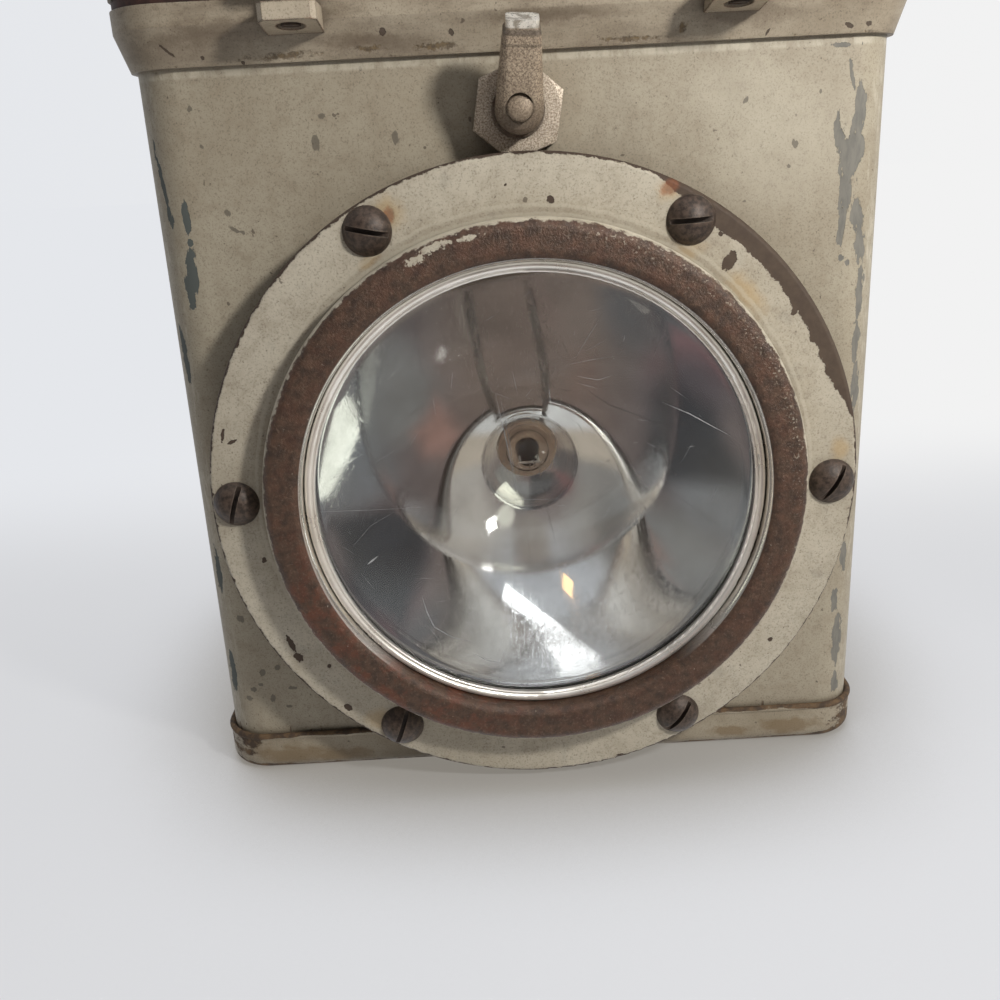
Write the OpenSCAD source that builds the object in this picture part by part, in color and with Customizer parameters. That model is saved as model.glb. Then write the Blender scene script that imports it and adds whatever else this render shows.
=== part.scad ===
// Battle lantern: a sheet steel case with a round lamp in its front and a switch lever above it.
// A hinged cover with a folding bail closes the top, and two dry cells stand inside.
// The origin is the centre of the underside, +X is right seen from the front, +Y back, +Z up.

/* [Case] */
// Outside width of the case walls
case_w = 177; // [168:1:220]
// Outside depth of the case walls
case_d = 140; // [136:1:190]
// Outside radius of the upright corners
corner_r = 11; // [10:0.5:18]
// Thickness of the case sheet
sheet_t = 1.2; // [0.8:0.1:2]
// Height of the bottom pan's wall
pan_h = 10.4; // [7:0.2:16]
// Thickness of the bottom pan's sheet
pan_t = 1.4; // [0.8:0.1:2]
// Outside radius of the bend between the pan's wall and floor
pan_bend_r = 3; // [2.4:0.1:5]
// Radius of the rolled bead along the pan's upper edge
pan_bead_r = 0.9; // [0.5:0.1:1.5]

/* [Collar] */
// Height from the switch axis up to the collar's lower edge
collar_rise = 12.7; // [12:0.1:20]
// Thickness of the collar's sheet
collar_t = 1.4; // [1:0.1:2]
// How far the collar flares out
flare_out = 2.8; // [1:0.1:5]
// Height of the flared part
flare_h = 8.2; // [6:0.1:12]
// Height of the upright band above the flare
band_h = 4.8; // [4:0.1:8]
// Width of the inward ledge that carries the cover gasket
ledge_w = 7; // [5:0.1:8]
// Thickness of the cover gasket
cover_gasket_t = 2; // [1:0.1:4]

/* [Lamp] */
// Outside radius of the lens ring
ring_r = 80; // [74:0.5:86]
// Gap between the lens ring and the floor
ring_floor_gap = 2; // [1:0.5:10]
// Thickness of the lens ring's flange
ring_t = 3; // [2:0.1:5]
// Width of the ring's flange outside the raised bead
flange_w = 14; // [13.5:0.1:16]
// Width of the raised bead
bead_w = 9.5; // [8:0.1:12]
// Wall of the bead outside the lens pocket
pocket_wall = 4; // [2.5:0.1:5]
// Thickness of the bead's lip over the lens gasket
lip_t = 5; // [3:0.1:7]
// Rounding of the bead
bead_round = 2.6; // [1:0.1:3]
// Distance of the ring screws from the ring's edge
screw_edge = 6.25; // [6:0.05:7]
// Radius of the ring screws' shanks
ring_screw_r = 2.4; // [1.8:0.1:2.8]
// Radius of the ring screws' heads
ring_head_r = 5.7; // [4.5:0.1:6]
// Height of the ring screws' heads
ring_head_h = 3.4; // [2.4:0.1:5]
// Thickness of the gasket under the ring
ring_gasket_t = 1.5; // [0.8:0.1:3]
// Thickness of the drum's flange
drum_flange_t = 2.5; // [1.5:0.1:4]
// How far the drum sits in from the ring's edge
drum_in = 12.5; // [11:0.1:13.5]
// Wall thickness of the drum
drum_t = 2; // [1.2:0.1:3]
// Thickness of the lens
lens_t = 3.5; // [2.5:0.1:5]
// Rise of the lens at its centre
lens_dome = 5; // [2:0.1:6]
// Thickness of the lens gasket and of the reflector gasket
seal_t = 1.5; // [0.8:0.1:3]
// Width of the bright rim on the lens's edge
bezel_w = 2.6; // [2.4:0.1:3]
// Radius of the rim's outer roll
bezel_roll_r = 0.95; // [0.8:0.05:1.1]

/* [Reflector and bulb] */
// How far the reflector's mouth sits in from the lens opening
mouth_in = 2.5; // [1.5:0.1:5]
// Depth of the reflector from its rim to its vertex
reflector_d = 42.8; // [36:0.1:46]
// Sheet thickness of the reflector
reflector_t = 1; // [0.6:0.1:1.4]
// Inside radius of the reflector's neck
neck_r = 8.7; // [8:0.1:10]
// Length of the reflector's neck
neck_h = 8; // [5:0.5:12]
// Wall thickness of the lamp socket
socket_t = 1; // [0.6:0.1:1.5]
// Length of the lamp socket
socket_h = 22; // [20:0.5:30]
// Radius of the bulb's globe
globe_r = 13.2; // [11:0.1:14]
// Wall thickness of the bulb's glass
glass_t = 0.6; // [0.4:0.1:1]
// Radius of the bulb's glass neck
globe_neck_r = 6.2; // [5:0.1:6.6]
// Length of the bulb's metal base
base_h = 17; // [14:0.5:18]

/* [Switch] */
// Height of the switch axis above the ring's edge
switch_rise = 8.8; // [8:0.1:14]
// Width across the flats of the switch nut
nut_af = 19.4; // [17:0.1:20]
// Thickness of the switch nut
nut_t = 4.6; // [3.5:0.1:7]
// Thickness of the washer under the nut
washer_t = 0.6; // [0.4:0.1:1.5]
// Radius of the threaded bushing
bushing_r = 6; // [5:0.1:7]
// Radius of the switch shaft
shaft_r = 3; // [2:0.1:3.5]
// Radius of the lever's hub
hub_r = 5.4; // [5:0.1:6.5]
// Length of the lever from its axis to its end
lever_len = 19.5; // [14:0.1:22]
// Width of the lever's arm
lever_w = 8.1; // [7:0.1:10.5]
// Thickness of the lever
lever_t = 7; // [5:0.1:9]
// Angle that the lever leans out from the case
lever_lean = 25; // [10:1:35]
// Angle that the lever stands clockwise of upright
lever_turn = 3.6; // [0:0.1:10]
// Length of the bare end that stands out of the lever
lever_end_h = 1.6; // [0.8:0.1:3]
// Depth of the switch body behind the case wall
switch_d = 22; // [18:0.5:26]

/* [Cover] */
// Thickness of the cover's sheet
cover_t = 1.4; // [1:0.1:2]
// Height of the cover from its rim's underside to its top
cover_h = 13; // [9:0.5:25]
// How far the raised crown sits in from the case walls
crown_in = 3.5; // [2:0.1:4.5]
// Outside radius of the bend around the crown's top
crown_bend_r = 4; // [3:0.1:5]
// Distance of the front lugs and the hinges from the middle
lug_x = 48.5; // [40:0.5:56]
// Width of a lug
lug_w = 12.6; // [10:0.1:16]
// Reach of a lug from the collar
lug_len = 10.4; // [9:0.1:14]
// Thickness of a lug at its tip
lug_t = 3.8; // [3:0.1:5]
// Drop of a lug's underside from its tip to its root
lug_drop = 1.5; // [0:0.1:2.5]
// Reach of the hold-down screws' axes from the collar
hold_reach = 5.4; // [5:0.1:7]
// Radius of the hold-down screws' shanks
hold_r = 2.2; // [1.8:0.1:2.6]
// Radius of the hold-down screws' knurled heads
hold_head_r = 6.6; // [5:0.1:8]
// Height of the hold-down screws' knurled heads
hold_head_h = 7.5; // [5:0.1:12]
// Thickness of the cover's ears over the lugs
ear_t = 3; // [2:0.1:5]
// Radius of a hinge knuckle
knuckle_r = 3.6; // [3.2:0.1:5]
// Radius of a hinge pin
pin_r = 1.8; // [1.2:0.1:2.2]
// Length of one hinge
hinge_len = 36; // [28:1:50]

/* [Handle] */
// Radius of the bail's rod
bail_r = 3.2; // [2.4:0.1:4]
// Length of the bail's arms
bail_len = 44; // [36:1:50]
// Radius of the bail's bends
bail_bend_r = 9; // [7:0.5:12]
// Largest radius of the grip
grip_r = 8; // [6:0.1:10]
// Length of the grip
grip_len = 84; // [60:1:96]
// Thickness of a bail bracket
bracket_t = 3; // [2:0.1:4]
// Width of a bail bracket
bracket_w = 20; // [16:0.5:28]
// Reach of a bail bracket's foot
foot_len = 10; // [8:0.5:14]

/* [Cells] */
// Radius of a dry cell
cell_r = 32; // [28:0.5:33]
// Height of a dry cell's jacket
cell_h = 150; // [120:1:152]
// Gap between the two dry cells
cell_gap = 3; // [1:0.5:6]
// Thickness of the pad that the cells stand on
pad_t = 3; // [2:0.5:6]
// Height of the strap that holds the cells
strap_h = 24; // [15:1:40]
// Thickness of the strap
strap_t = 1.2; // [0.8:0.1:2]
// Radius of a connecting wire with its insulation
wire_r = 1.4; // [1:0.1:1.8]

/* [Hidden] */

// Rounds are true circles, and a hull's own rounds are coarser
$fn = 96;
hull_fn = 32;
// Clearances: running fit of a pin, parts that move past each other, a loose hole for a screw
run_gap = 0.05;
move_gap = 0.3;
screw_gap = 0.2;
lug_gap = 0.9;
// Overlap of a cutting tool past the face that it cuts
cut = 1;

// Paints, metals and other materials
paint = "#a39c8c";
ring_paint = "#bcb6a4";
rust = "#5a4638";
bare_steel = "#8d867b";
brass = "#a58a4a";
rubber = "#2b2523";
silver = "#c9cccf";
glass = "#dfe6e4";
card = "#6d5a44";
wood = "#4a3222";
dark_wire = "#3a2a26";
red_wire = "#6b2f26";

// Heights of the stack from the floor to the cover's top
ring_z = ring_r + ring_floor_gap;
switch_z = ring_z + ring_r + switch_rise;
collar_z = switch_z + collar_rise;
flare_top = collar_z + flare_h;
collar_top = flare_top + band_h;
cover_z = collar_top + cover_gasket_t + move_gap;
cover_top = cover_z + cover_h;
collar_out = collar_t + flare_out;
wall_top = collar_top - collar_t;

// Distances of the lamp's pieces out from the case's front
nut_front = washer_t + nut_t;
drum_neck = nut_front + move_gap;
plate_front = drum_neck + drum_flange_t;
ring_back = plate_front + ring_gasket_t;
ring_front = ring_back + ring_t;
rim_back = plate_front + seal_t;
lens_back = rim_back + reflector_t;
lens_front = lens_back + lens_t;
lip_back = lens_front + seal_t;
bead_front = lip_back + lip_t;
bead_r = ring_r - flange_w;
opening_r = bead_r - bead_w;
lens_pocket_r = bead_r - pocket_wall;
lens_r = lens_pocket_r - screw_gap;
plate_hole_r = opening_r + 0.5;
screw_circle_r = ring_r - screw_edge;
drum_r = ring_r - drum_in;
flange_r = ring_r - 0.6;
screw_hole_r = ring_screw_r + screw_gap;
ring_turn = -1;

// Dome of the lens's front and the bright rim that rests on it
lens_edge = opening_r - 0.5;
lens_front_r = (lens_edge * lens_edge + lens_dome * lens_dome) / (2 * lens_dome);
bezel_gap = 0.1;
bezel_r = opening_r - bezel_gap;
bezel_in = bezel_r - bezel_w;
bezel_drop = lens_front_r - sqrt(lens_front_r * lens_front_r - bezel_in * bezel_in);
bezel_back = lens_front + lens_dome - bezel_drop + bezel_gap;
bezel_bed = bezel_back + bezel_roll_r;
bezel_lip_r = bezel_w / 2 - bezel_roll_r + 0.1;

// Reflector and bulb along the lamp's axis, out from the case's front
mouth_r = opening_r - mouth_in;
focal = mouth_r * mouth_r / (4 * reflector_d);
vertex = lens_back - reflector_d;
focus = vertex + focal;
neck_back = vertex - neck_h;
socket_front = vertex + 2;
socket_back = socket_front - socket_h;
socket_in = neck_r - socket_t;
insulator_t = 4;
contact_h = 3;
contact_r = 2.5;
base_back = socket_back + insulator_t + contact_h;
base_front = base_back + base_h;
base_r = socket_in - 0.1;
stem_h = 7;
lead_gap = 5;
lead_r = 0.35;

// Switch
bushing_front = nut_front + 0.8;
lever_back = bushing_front + move_gap;
shaft_in = 11;
hub_h = lever_t - 0.5;
hub_edge = 1;
lever_bevel = 1;
lever_arm = lever_len - lever_end_h;
lever_flank = lever_arm - lever_bevel;
lever_tip_y = lever_flank * cos(lever_lean) - lever_t / 2 * sin(lever_lean);
lever_tip_z = hub_h / 2 + lever_flank * sin(lever_lean) + lever_t / 2 * cos(lever_lean);
lever_slope = (lever_tip_z - hub_h) / (lever_tip_y + hub_r - hub_edge);
lever_face = hub_h + (hub_r - hub_edge) * lever_slope;
lever_bore = lever_face + shaft_r * lever_slope;
boss_back = lever_back + lever_face;
terminal_x = 8;
terminal_r = 2;
terminal_h = 4;
switch_w = 32;
switch_h = 26;

// Cover, lugs, hinges and hold-down screws
lug_top = flare_top + 2.6;
lug_tip_z = lug_top - lug_t;
lug_root_z = lug_tip_z - lug_drop;
collar_face = case_d / 2 + collar_out;
hold_y = -collar_face - hold_reach;
ear_z = cover_z + cover_t;
ear_top = ear_z + ear_t;
clip_t = 1;
clip_r = hold_r + 1.4;
hinge_y = collar_face + knuckle_r + 0.5;
hinge_z = cover_z + 0.4;
knuckle_len = hinge_len / 3;
leaf_t = 2;

// Handle
bail_z = cover_top + grip_r + move_gap;
crown_half_w = case_w / 2 - crown_in - crown_bend_r;
bracket_x = crown_half_w - foot_len - bracket_t;
bail_x = bracket_x - move_gap - bail_bend_r;
bail_end = bracket_x + bracket_t + move_gap;
bracket_head_r = bail_r + 3.4;

// Dry cells
cell_x = cell_r + cell_gap / 2;
cell_y = case_d / 2 - sheet_t - 1 - cell_r;
cell_z = pan_t + pad_t;
cell_top = cell_z + cell_h;
jacket_t = 1.5;
seal_depth = 2;
post_r = 2.2;
post_h = 11;
post_out = cell_r - 9;
post_top = cell_top + post_h - seal_depth;
cell_nut_r = 4.6;
cell_nut_h = 4;
strap_z = cell_z + 0.55 * cell_h;
strap_y = cell_y - cell_r - move_gap - strap_t;

// Wires: the places that they join and the space between the socket and the strap that they run in
back = [0, 1, 0];
forward = [0, -1, 0];
up = [0, 0, 1];
down = [0, 0, -1];
terminal_y = -case_d / 2 + sheet_t + switch_d + terminal_h;
socket_y = -case_d / 2 - socket_back;
tag_z = ring_z + socket_in + 3;
post_y = cell_y - post_out;
wire_y = (socket_y + strap_y) / 2;
wire_lead = (wire_y - socket_y) / 2;
wire_rise = 7;
wire_top = post_top + 2 * wire_rise;
wire_x = 19;

// Flat rounded rectangle
module rounded_rect(w, d, r) {
  square([w - 2 * r, d], center = true);
  square([w, d - 2 * r], center = true);
  for (sx = [-1, 1], sy = [-1, 1])
    translate([sx * (w / 2 - r), sy * (d / 2 - r)]) circle(r);
}

// Sweep a section around the case: the section's x runs out from the case walls, its y is the height
module around_case() {
  side_x = case_w / 2 - corner_r;
  side_y = case_d / 2 - corner_r;
  for (turn = [0, 180]) {
    rotate(turn) translate([case_w / 2, 0, 0]) rotate([90, 0, 0])
      linear_extrude(2 * side_y, center = true) children();
    rotate(turn + 90) translate([case_d / 2, 0, 0]) rotate([90, 0, 0])
      linear_extrude(2 * side_x, center = true) children();
  }
  for (corner = [[1, 1, 0], [-1, 1, 90], [-1, -1, 180], [1, -1, 270]])
    translate([corner[0] * side_x, corner[1] * side_y, 0]) rotate(corner[2])
      rotate_extrude(angle = 90) translate([corner_r, 0]) children();
}

// Rectangle between two corners
module span(low, high) {
  translate(low) square([high[0] - low[0], high[1] - low[1]]);
}

// Quarter of a bent sheet, from straight down (0) or straight up (1) to level, around the origin
module bend(outer_r, t, up) {
  intersection() {
    difference() {
      circle(outer_r);
      circle(outer_r - t);
    }
    translate([0, up ? 0 : -outer_r]) square(outer_r);
  }
}

// Frame on the case's front at a height: x is right, y is up and z runs out from the wall
module front_of_case(z) {
  translate([0, -case_d / 2, z]) rotate([90, 0, 0]) children();
}

// Ring between two radii and two distances along its axis
module tube(outer_r, inner_r, low, high) {
  rotate_extrude() span([inner_r, low], [outer_r, high]);
}

// Copies left and right
module both_sides(x) {
  for (side = [-1, 1]) translate([side * x, 0, 0]) children();
}

// Places of the six ring screws
module at_ring_screws() {
  for (turn = [0:60:300]) rotate(turn + ring_turn) translate([screw_circle_r, 0, 0]) children();
}

// Point on a smooth curve through a route, at a number of steps along it
function curve_point(route, steps, i) =
  let (
    seg = min(floor(i / steps), len(route) - 2),
    t = i / steps - seg,
    p1 = route[seg],
    p2 = route[seg + 1],
    p0 = seg > 0 ? route[seg - 1] : 2 * p1 - p2,
    p3 = seg + 2 < len(route) ? route[seg + 2] : 2 * p2 - p1
  )
  0.5 * (2 * p1 + (p2 - p0) * t + (2 * p0 - 5 * p1 + 4 * p2 - p3) * t * t
    + (3 * p1 - p0 - 3 * p2 + p3) * t * t * t);

// Round wire along a route, as one closed skin of rings, square to what it leaves and meets
module wire(route, r, leave, arrive) {
  sides = 8;
  steps = 4;
  count = (len(route) - 1) * steps + 1;
  path = [for (i = [0:count - 1]) curve_point(route, steps, i)];
  aside = [0.83, 0.31, 0.46];
  rings = [for (i = [0:count - 1])
    let (
      run = i == 0 ? leave : i == count - 1 ? arrive : path[i + 1] - path[i - 1],
      along = run / norm(run),
      u = cross(along, aside) / norm(cross(along, aside)),
      v = cross(along, u)
    )
    for (k = [0:sides - 1])
      path[i] + r * (cos(360 * k / sides) * u + sin(360 * k / sides) * v)];
  skin = [for (i = [0:count - 2], k = [0:sides - 1])
    let (a = i * sides + k, b = i * sides + (k + 1) % sides)
    each [[a, a + sides, b], [b, a + sides, b + sides]]];
  caps = [
    for (k = [1:sides - 2]) [0, k, k + 1],
    for (k = [1:sides - 2])
      let (last = (count - 1) * sides) [last, last + k + 1, last + k]
  ];
  polyhedron(rings, concat(skin, caps));
}

// Case walls, open at the front for the drum and the switch
module case_shell() {
  color(paint) difference() {
    translate([0, 0, pan_bend_r]) linear_extrude(wall_top - pan_bend_r) difference() {
      rounded_rect(case_w, case_d, corner_r);
      rounded_rect(case_w - 2 * sheet_t, case_d - 2 * sheet_t, corner_r - sheet_t);
    }
    front_of_case(ring_z) translate([0, 0, -sheet_t - cut]) cylinder(sheet_t + 2 * cut, r = drum_r);
    front_of_case(switch_z) translate([0, 0, -sheet_t - cut])
      cylinder(sheet_t + 2 * cut, r = bushing_r);
  }
}

// Shallow pan that closes the bottom and laps the walls, with a rolled bead along its edge
module bottom_pan() {
  inset = pan_bend_r - pan_t;
  color(paint) {
    around_case() {
      span([0, pan_bend_r], [pan_t, pan_h]);
      translate([pan_bead_r, pan_h]) circle(pan_bead_r);
      translate([-inset, pan_bend_r]) bend(pan_bend_r, pan_t, false);
    }
    linear_extrude(pan_t)
      rounded_rect(case_w - 2 * inset, case_d - 2 * inset, corner_r - inset);
  }
}

// Collar that flares out from the walls' upper edge and turns in to a ledge
module top_collar() {
  fold = 0.4;
  color(paint) around_case() polygon([
    [0, collar_z], [collar_t, collar_z], [collar_out, flare_top], [collar_out, collar_top],
    [-ledge_w, collar_top], [-ledge_w, wall_top], [flare_out, wall_top],
    [flare_out, flare_top + fold], [0, collar_z + fold]
  ]);
}

module cover_gasket() {
  edge = 0.6;
  color(rubber) around_case()
    span([edge - ledge_w, collar_top], [collar_out - edge, collar_top + cover_gasket_t]);
}

// Tapered lugs on the collar's front, each with a loose hole for a hold-down screw
module collar_lugs() {
  slope = flare_out * (flare_top - lug_root_z) / flare_h;
  nose = 1.2;
  color(paint) both_sides(lug_x) difference() {
    intersection() {
      translate([0, -collar_face, 0]) rotate([90, 0, 90]) linear_extrude(lug_w, center = true)
        polygon([
          [slope, lug_root_z], [0, flare_top], [0, lug_top], [-lug_len, lug_top],
          [-lug_len, lug_tip_z]
        ]);
      translate([0, -collar_face, 0]) linear_extrude(cover_z) polygon([
        [-lug_w / 2, slope], [-lug_w / 2, nose - lug_len], [nose - lug_w / 2, -lug_len],
        [lug_w / 2 - nose, -lug_len], [lug_w / 2, nose - lug_len], [lug_w / 2, slope]
      ]);
    }
    translate([0, hold_y, lug_root_z - cut])
      cylinder(lug_top - lug_root_z + 2 * cut, r = hold_r + lug_gap);
  }
}

// Knuckle cylinder along the hinge axis between two places
module knuckle(low, high, r) {
  translate([low, hinge_y, hinge_z]) rotate([0, 90, 0]) cylinder(high - low, r = r);
}

// Hinge leaves on the collar's back: two outer knuckles on blocks joined by a strip
module hinge_case_leaves() {
  half = hinge_len / 2;
  strip_t = 1.5;
  strip_top = hinge_z - knuckle_r - 1;
  color(paint) both_sides(lug_x) difference() {
    union() {
      for (low = [-half, knuckle_len / 2]) {
        knuckle(low, low + knuckle_len, knuckle_r);
        translate([low, collar_face, flare_top])
          cube([knuckle_len, hinge_y - collar_face, collar_top - flare_top]);
      }
      translate([-half, collar_face, flare_top])
        cube([hinge_len, strip_t, strip_top - flare_top]);
    }
    knuckle(-half - cut, half + cut, pin_r);
  }
}

module hinge_pins() {
  head_t = 1.2;
  half = hinge_len / 2;
  color(bare_steel) both_sides(lug_x) {
    knuckle(-half, half, pin_r);
    knuckle(half, half + head_t, pin_r + 0.9);
    knuckle(-half - head_t, -half, pin_r + 0.9);
  }
}

// Drum that stands out of the case and carries the lens ring on its flange
module lens_drum() {
  inner_lip = 2.5;
  color(ring_paint) front_of_case(ring_z) difference() {
    union() {
      tube(flange_r, plate_hole_r, drum_neck, plate_front);
      tube(drum_r, drum_r - drum_t, -sheet_t - inner_lip, drum_neck);
    }
    at_ring_screws() translate([0, 0, drum_neck - cut])
      cylinder(drum_flange_t + 2 * cut, r = ring_screw_r);
  }
}

module ring_gasket() {
  color(rubber) front_of_case(ring_z) difference() {
    tube(flange_r, lens_pocket_r + 1, plate_front, ring_back);
    at_ring_screws() translate([0, 0, plate_front - cut])
      cylinder(ring_gasket_t + 2 * cut, r = screw_hole_r);
  }
}

// Flange with a raised bead whose lip holds the lens in its pocket
module lens_ring() {
  edge_r = min(1, ring_t / 3);
  color(ring_paint) front_of_case(ring_z) difference() {
    rotate_extrude() difference() {
      union() {
        span([opening_r, ring_back], [ring_r - edge_r, ring_front]);
        span([opening_r, ring_back], [ring_r, ring_front - edge_r]);
        translate([ring_r - edge_r, ring_front - edge_r]) circle(edge_r);
        span([opening_r, ring_back], [bead_r, bead_front - bead_round]);
        span([opening_r + bead_round, ring_back], [bead_r - bead_round, bead_front]);
        for (r = [opening_r + bead_round, bead_r - bead_round])
          translate([r, bead_front - bead_round]) circle(bead_round);
      }
      span([0, ring_back - cut], [lens_pocket_r, lip_back]);
    }
    at_ring_screws() translate([0, 0, ring_back - cut])
      cylinder(ring_t + 2 * cut, r = screw_hole_r);
  }
}

// Slotted round-head screw, its head standing on the ring
module ring_screw(slot_turn) {
  slot_w = 1.1;
  slot_d = 2.4;
  tip = 2;
  dome_r = (ring_head_r * ring_head_r + ring_head_h * ring_head_h) / (2 * ring_head_h);
  difference() {
    union() {
      translate([0, 0, drum_neck - tip]) cylinder(ring_front - drum_neck + tip, r = ring_screw_r);
      intersection() {
        translate([0, 0, ring_front]) cylinder(ring_head_h, r = ring_head_r);
        translate([0, 0, ring_front + ring_head_h - dome_r]) sphere(dome_r);
      }
    }
    rotate(slot_turn) translate([-ring_head_r, -slot_w / 2, ring_front + ring_head_h - slot_d])
      cube([2 * ring_head_r, slot_w, slot_d + cut]);
  }
}

// Slots stand as the screws happened to tighten, counted anticlockwise from the right
module ring_screws() {
  slot_turns = [58, 2, -12, 72, 70, 52];
  color(rust) front_of_case(ring_z) for (i = [0:5]) let (place = 60 * i + ring_turn)
    rotate(place) translate([screw_circle_r, 0, 0]) rotate(-place) ring_screw(slot_turns[i]);
}

module lens_gasket() {
  color(rubber) front_of_case(ring_z) tube(lens_r, opening_r + 0.6, lens_front, lip_back);
}

// Domed lens with a flat rim
module lens() {
  back_edge = mouth_r - 1;
  back_r = (back_edge * back_edge + lens_dome * lens_dome) / (2 * lens_dome);
  color(glass, 0.4) front_of_case(ring_z) rotate_extrude() difference() {
    union() {
      span([0, lens_back], [lens_r, lens_front]);
      intersection() {
        translate([0, lens_front + lens_dome - lens_front_r]) circle(lens_front_r, $fn = 720);
        span([0, lens_back], [lens_edge, lens_front + lens_dome]);
      }
    }
    intersection() {
      translate([0, lens_back + lens_dome - back_r]) circle(back_r, $fn = 720);
      span([0, lens_back - cut], [back_edge, lens_front + lens_dome]);
    }
  }
}

// Bright rim on the lens's edge: a thick outer roll and a thin inner one
module lens_bezel() {
  color(silver) front_of_case(ring_z) rotate_extrude() {
    span([bezel_in, bezel_back], [bezel_r, bezel_bed]);
    translate([bezel_r - bezel_roll_r, bezel_bed]) circle(bezel_roll_r);
    translate([bezel_in + bezel_lip_r, bezel_bed]) circle(bezel_lip_r);
  }
}

module reflector_gasket() {
  color(rubber) front_of_case(ring_z) tube(lens_r, plate_hole_r, plate_front, rim_back);
}

// Spun parabola with a flat rim and a neck for the socket
function dish(r) = vertex + r * r / (4 * focal);
function dish_back(r) =
  let (slope = r / (2 * focal), run = reflector_t / sqrt(1 + slope * slope))
  [r + run * slope, dish(r) - run];

module reflector() {
  bands = 30;
  inner_step = (mouth_r - neck_r) / bands;
  back_low = neck_r + reflector_t;
  back_step = (mouth_r - 1 - back_low) / bands;
  color(silver) front_of_case(ring_z) rotate_extrude() polygon([
    [neck_r, neck_back],
    for (i = [0:bands]) let (r = neck_r + i * inner_step) [r, dish(r)],
    [lens_r, lens_back], [lens_r, rim_back], [mouth_r + reflector_t, rim_back],
    for (i = [bands:-1:1]) dish_back(back_low + i * back_step),
    [neck_r + reflector_t, dish_back(back_low)[1]], [neck_r + reflector_t, neck_back]
  ]);
}

// Socket shell in the reflector's neck, with a solder tag at its back
module lamp_socket() {
  tag_w = 4;
  tag_h = 5;
  color(brass) front_of_case(ring_z) {
    tube(neck_r, socket_in, socket_back, socket_front);
    translate([-tag_w / 2, neck_r - socket_t, socket_back])
      cube([tag_w, tag_h, socket_t]);
  }
}

module socket_insulator() {
  color(card) front_of_case(ring_z) translate([0, 0, socket_back])
    difference() {
      cylinder(insulator_t, r = socket_in);
      translate([0, 0, -cut]) cylinder(insulator_t + 2 * cut, r = contact_r);
    }
}

// Contact button through the insulator
module socket_contact() {
  color(brass) front_of_case(ring_z) translate([0, 0, socket_back])
    cylinder(insulator_t + contact_h, r = contact_r);
}

module globe_section(r, neck) {
  intersection() {
    union() {
      translate([0, focus]) circle(r);
      span([0, base_front - cut], [neck, focus]);
    }
    span([0, base_front - cut], [2 * r, focus + r]);
  }
}

module bulb_globe() {
  color(glass, 0.3) front_of_case(ring_z) rotate_extrude() intersection() {
    difference() {
      globe_section(globe_r, globe_neck_r);
      globe_section(globe_r - glass_t, globe_neck_r - glass_t);
    }
    span([0, base_front], [2 * globe_r, focus + globe_r]);
  }
}

module bulb_base() {
  tip_h = 2;
  color(brass) front_of_case(ring_z) rotate_extrude() polygon([
    [0, base_back], [contact_r, base_back], [base_r, base_back + tip_h],
    [base_r, base_front], [0, base_front]
  ]);
}

module bulb_stem() {
  color(glass, 0.5) front_of_case(ring_z) translate([0, 0, base_front])
    cylinder(stem_h, r1 = 3.6, r2 = 3);
}

// Two lead wires with the filament between their ends
module bulb_filament() {
  lead_h = focus - base_front - stem_h;
  color(bare_steel) front_of_case(ring_z) translate([0, 0, base_front + stem_h]) {
    both_sides(lead_gap / 2) cylinder(lead_h, r = lead_r);
    translate([-lead_gap / 2 - lead_r, 0, lead_h]) rotate([0, 90, 0])
      cylinder(lead_gap + 2 * lead_r, r = lead_r);
  }
}

// Moulded block behind the case wall, with a blind bore for the shaft
module switch_body() {
  color(rubber) front_of_case(switch_z) difference() {
    translate([-switch_w / 2, -switch_h / 2, -sheet_t - switch_d])
      cube([switch_w, switch_h, switch_d]);
    translate([0, 0, -sheet_t - shaft_in - move_gap])
      cylinder(shaft_in + move_gap + cut, r = shaft_r + run_gap);
  }
}

module switch_bushing() {
  color(bare_steel) front_of_case(switch_z)
    tube(bushing_r, shaft_r + run_gap, -sheet_t, bushing_front);
}

module switch_washer() {
  color(bare_steel) front_of_case(switch_z) tube(nut_af / 2 - 0.2, bushing_r, 0, washer_t);
}

// Hexagon nut with its front corners chamfered, turned as it was tightened
module switch_nut() {
  nut_turn = 20;
  chamfer_run = 1.8;
  color(bare_steel) front_of_case(switch_z) translate([0, 0, washer_t]) difference() {
    intersection() {
      rotate(nut_turn) cylinder(nut_t, r = nut_af / sqrt(3), $fn = 6);
      cylinder(nut_t, r1 = nut_af / 2 + nut_t * chamfer_run, r2 = nut_af / 2);
    }
    translate([0, 0, -cut]) cylinder(nut_t + 2 * cut, r = bushing_r);
  }
}

module switch_terminals() {
  color(brass) front_of_case(switch_z) both_sides(terminal_x)
    translate([0, 0, -sheet_t - switch_d - terminal_h]) cylinder(terminal_h, r = terminal_r);
}

// Dry cell: a round jacket with a recess for the seal
module dry_cell(side) {
  color(card) translate([side * cell_x, cell_y, cell_z]) difference() {
    cylinder(cell_h, r = cell_r);
    translate([0, 0, cell_h - seal_depth]) cylinder(seal_depth + cut, r = cell_r - jacket_t);
  }
}

module dry_cell_left() {
  dry_cell(-1);
}

module dry_cell_right() {
  dry_cell(1);
}

// Places of the middle post and the edge post of each cell
module at_cell_posts() {
  both_sides(cell_x) for (out = [0, -post_out]) translate([0, cell_y + out, 0]) children();
}

module cell_seals() {
  color(rubber) difference() {
    both_sides(cell_x) translate([0, cell_y, cell_top - seal_depth])
      cylinder(seal_depth, r = cell_r - jacket_t);
    at_cell_posts() translate([0, 0, cell_top - seal_depth - cut])
      cylinder(seal_depth + 2 * cut, r = post_r);
  }
}

module cell_posts() {
  color(brass) at_cell_posts() translate([0, 0, cell_top - seal_depth])
    cylinder(post_h, r = post_r);
}

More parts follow.
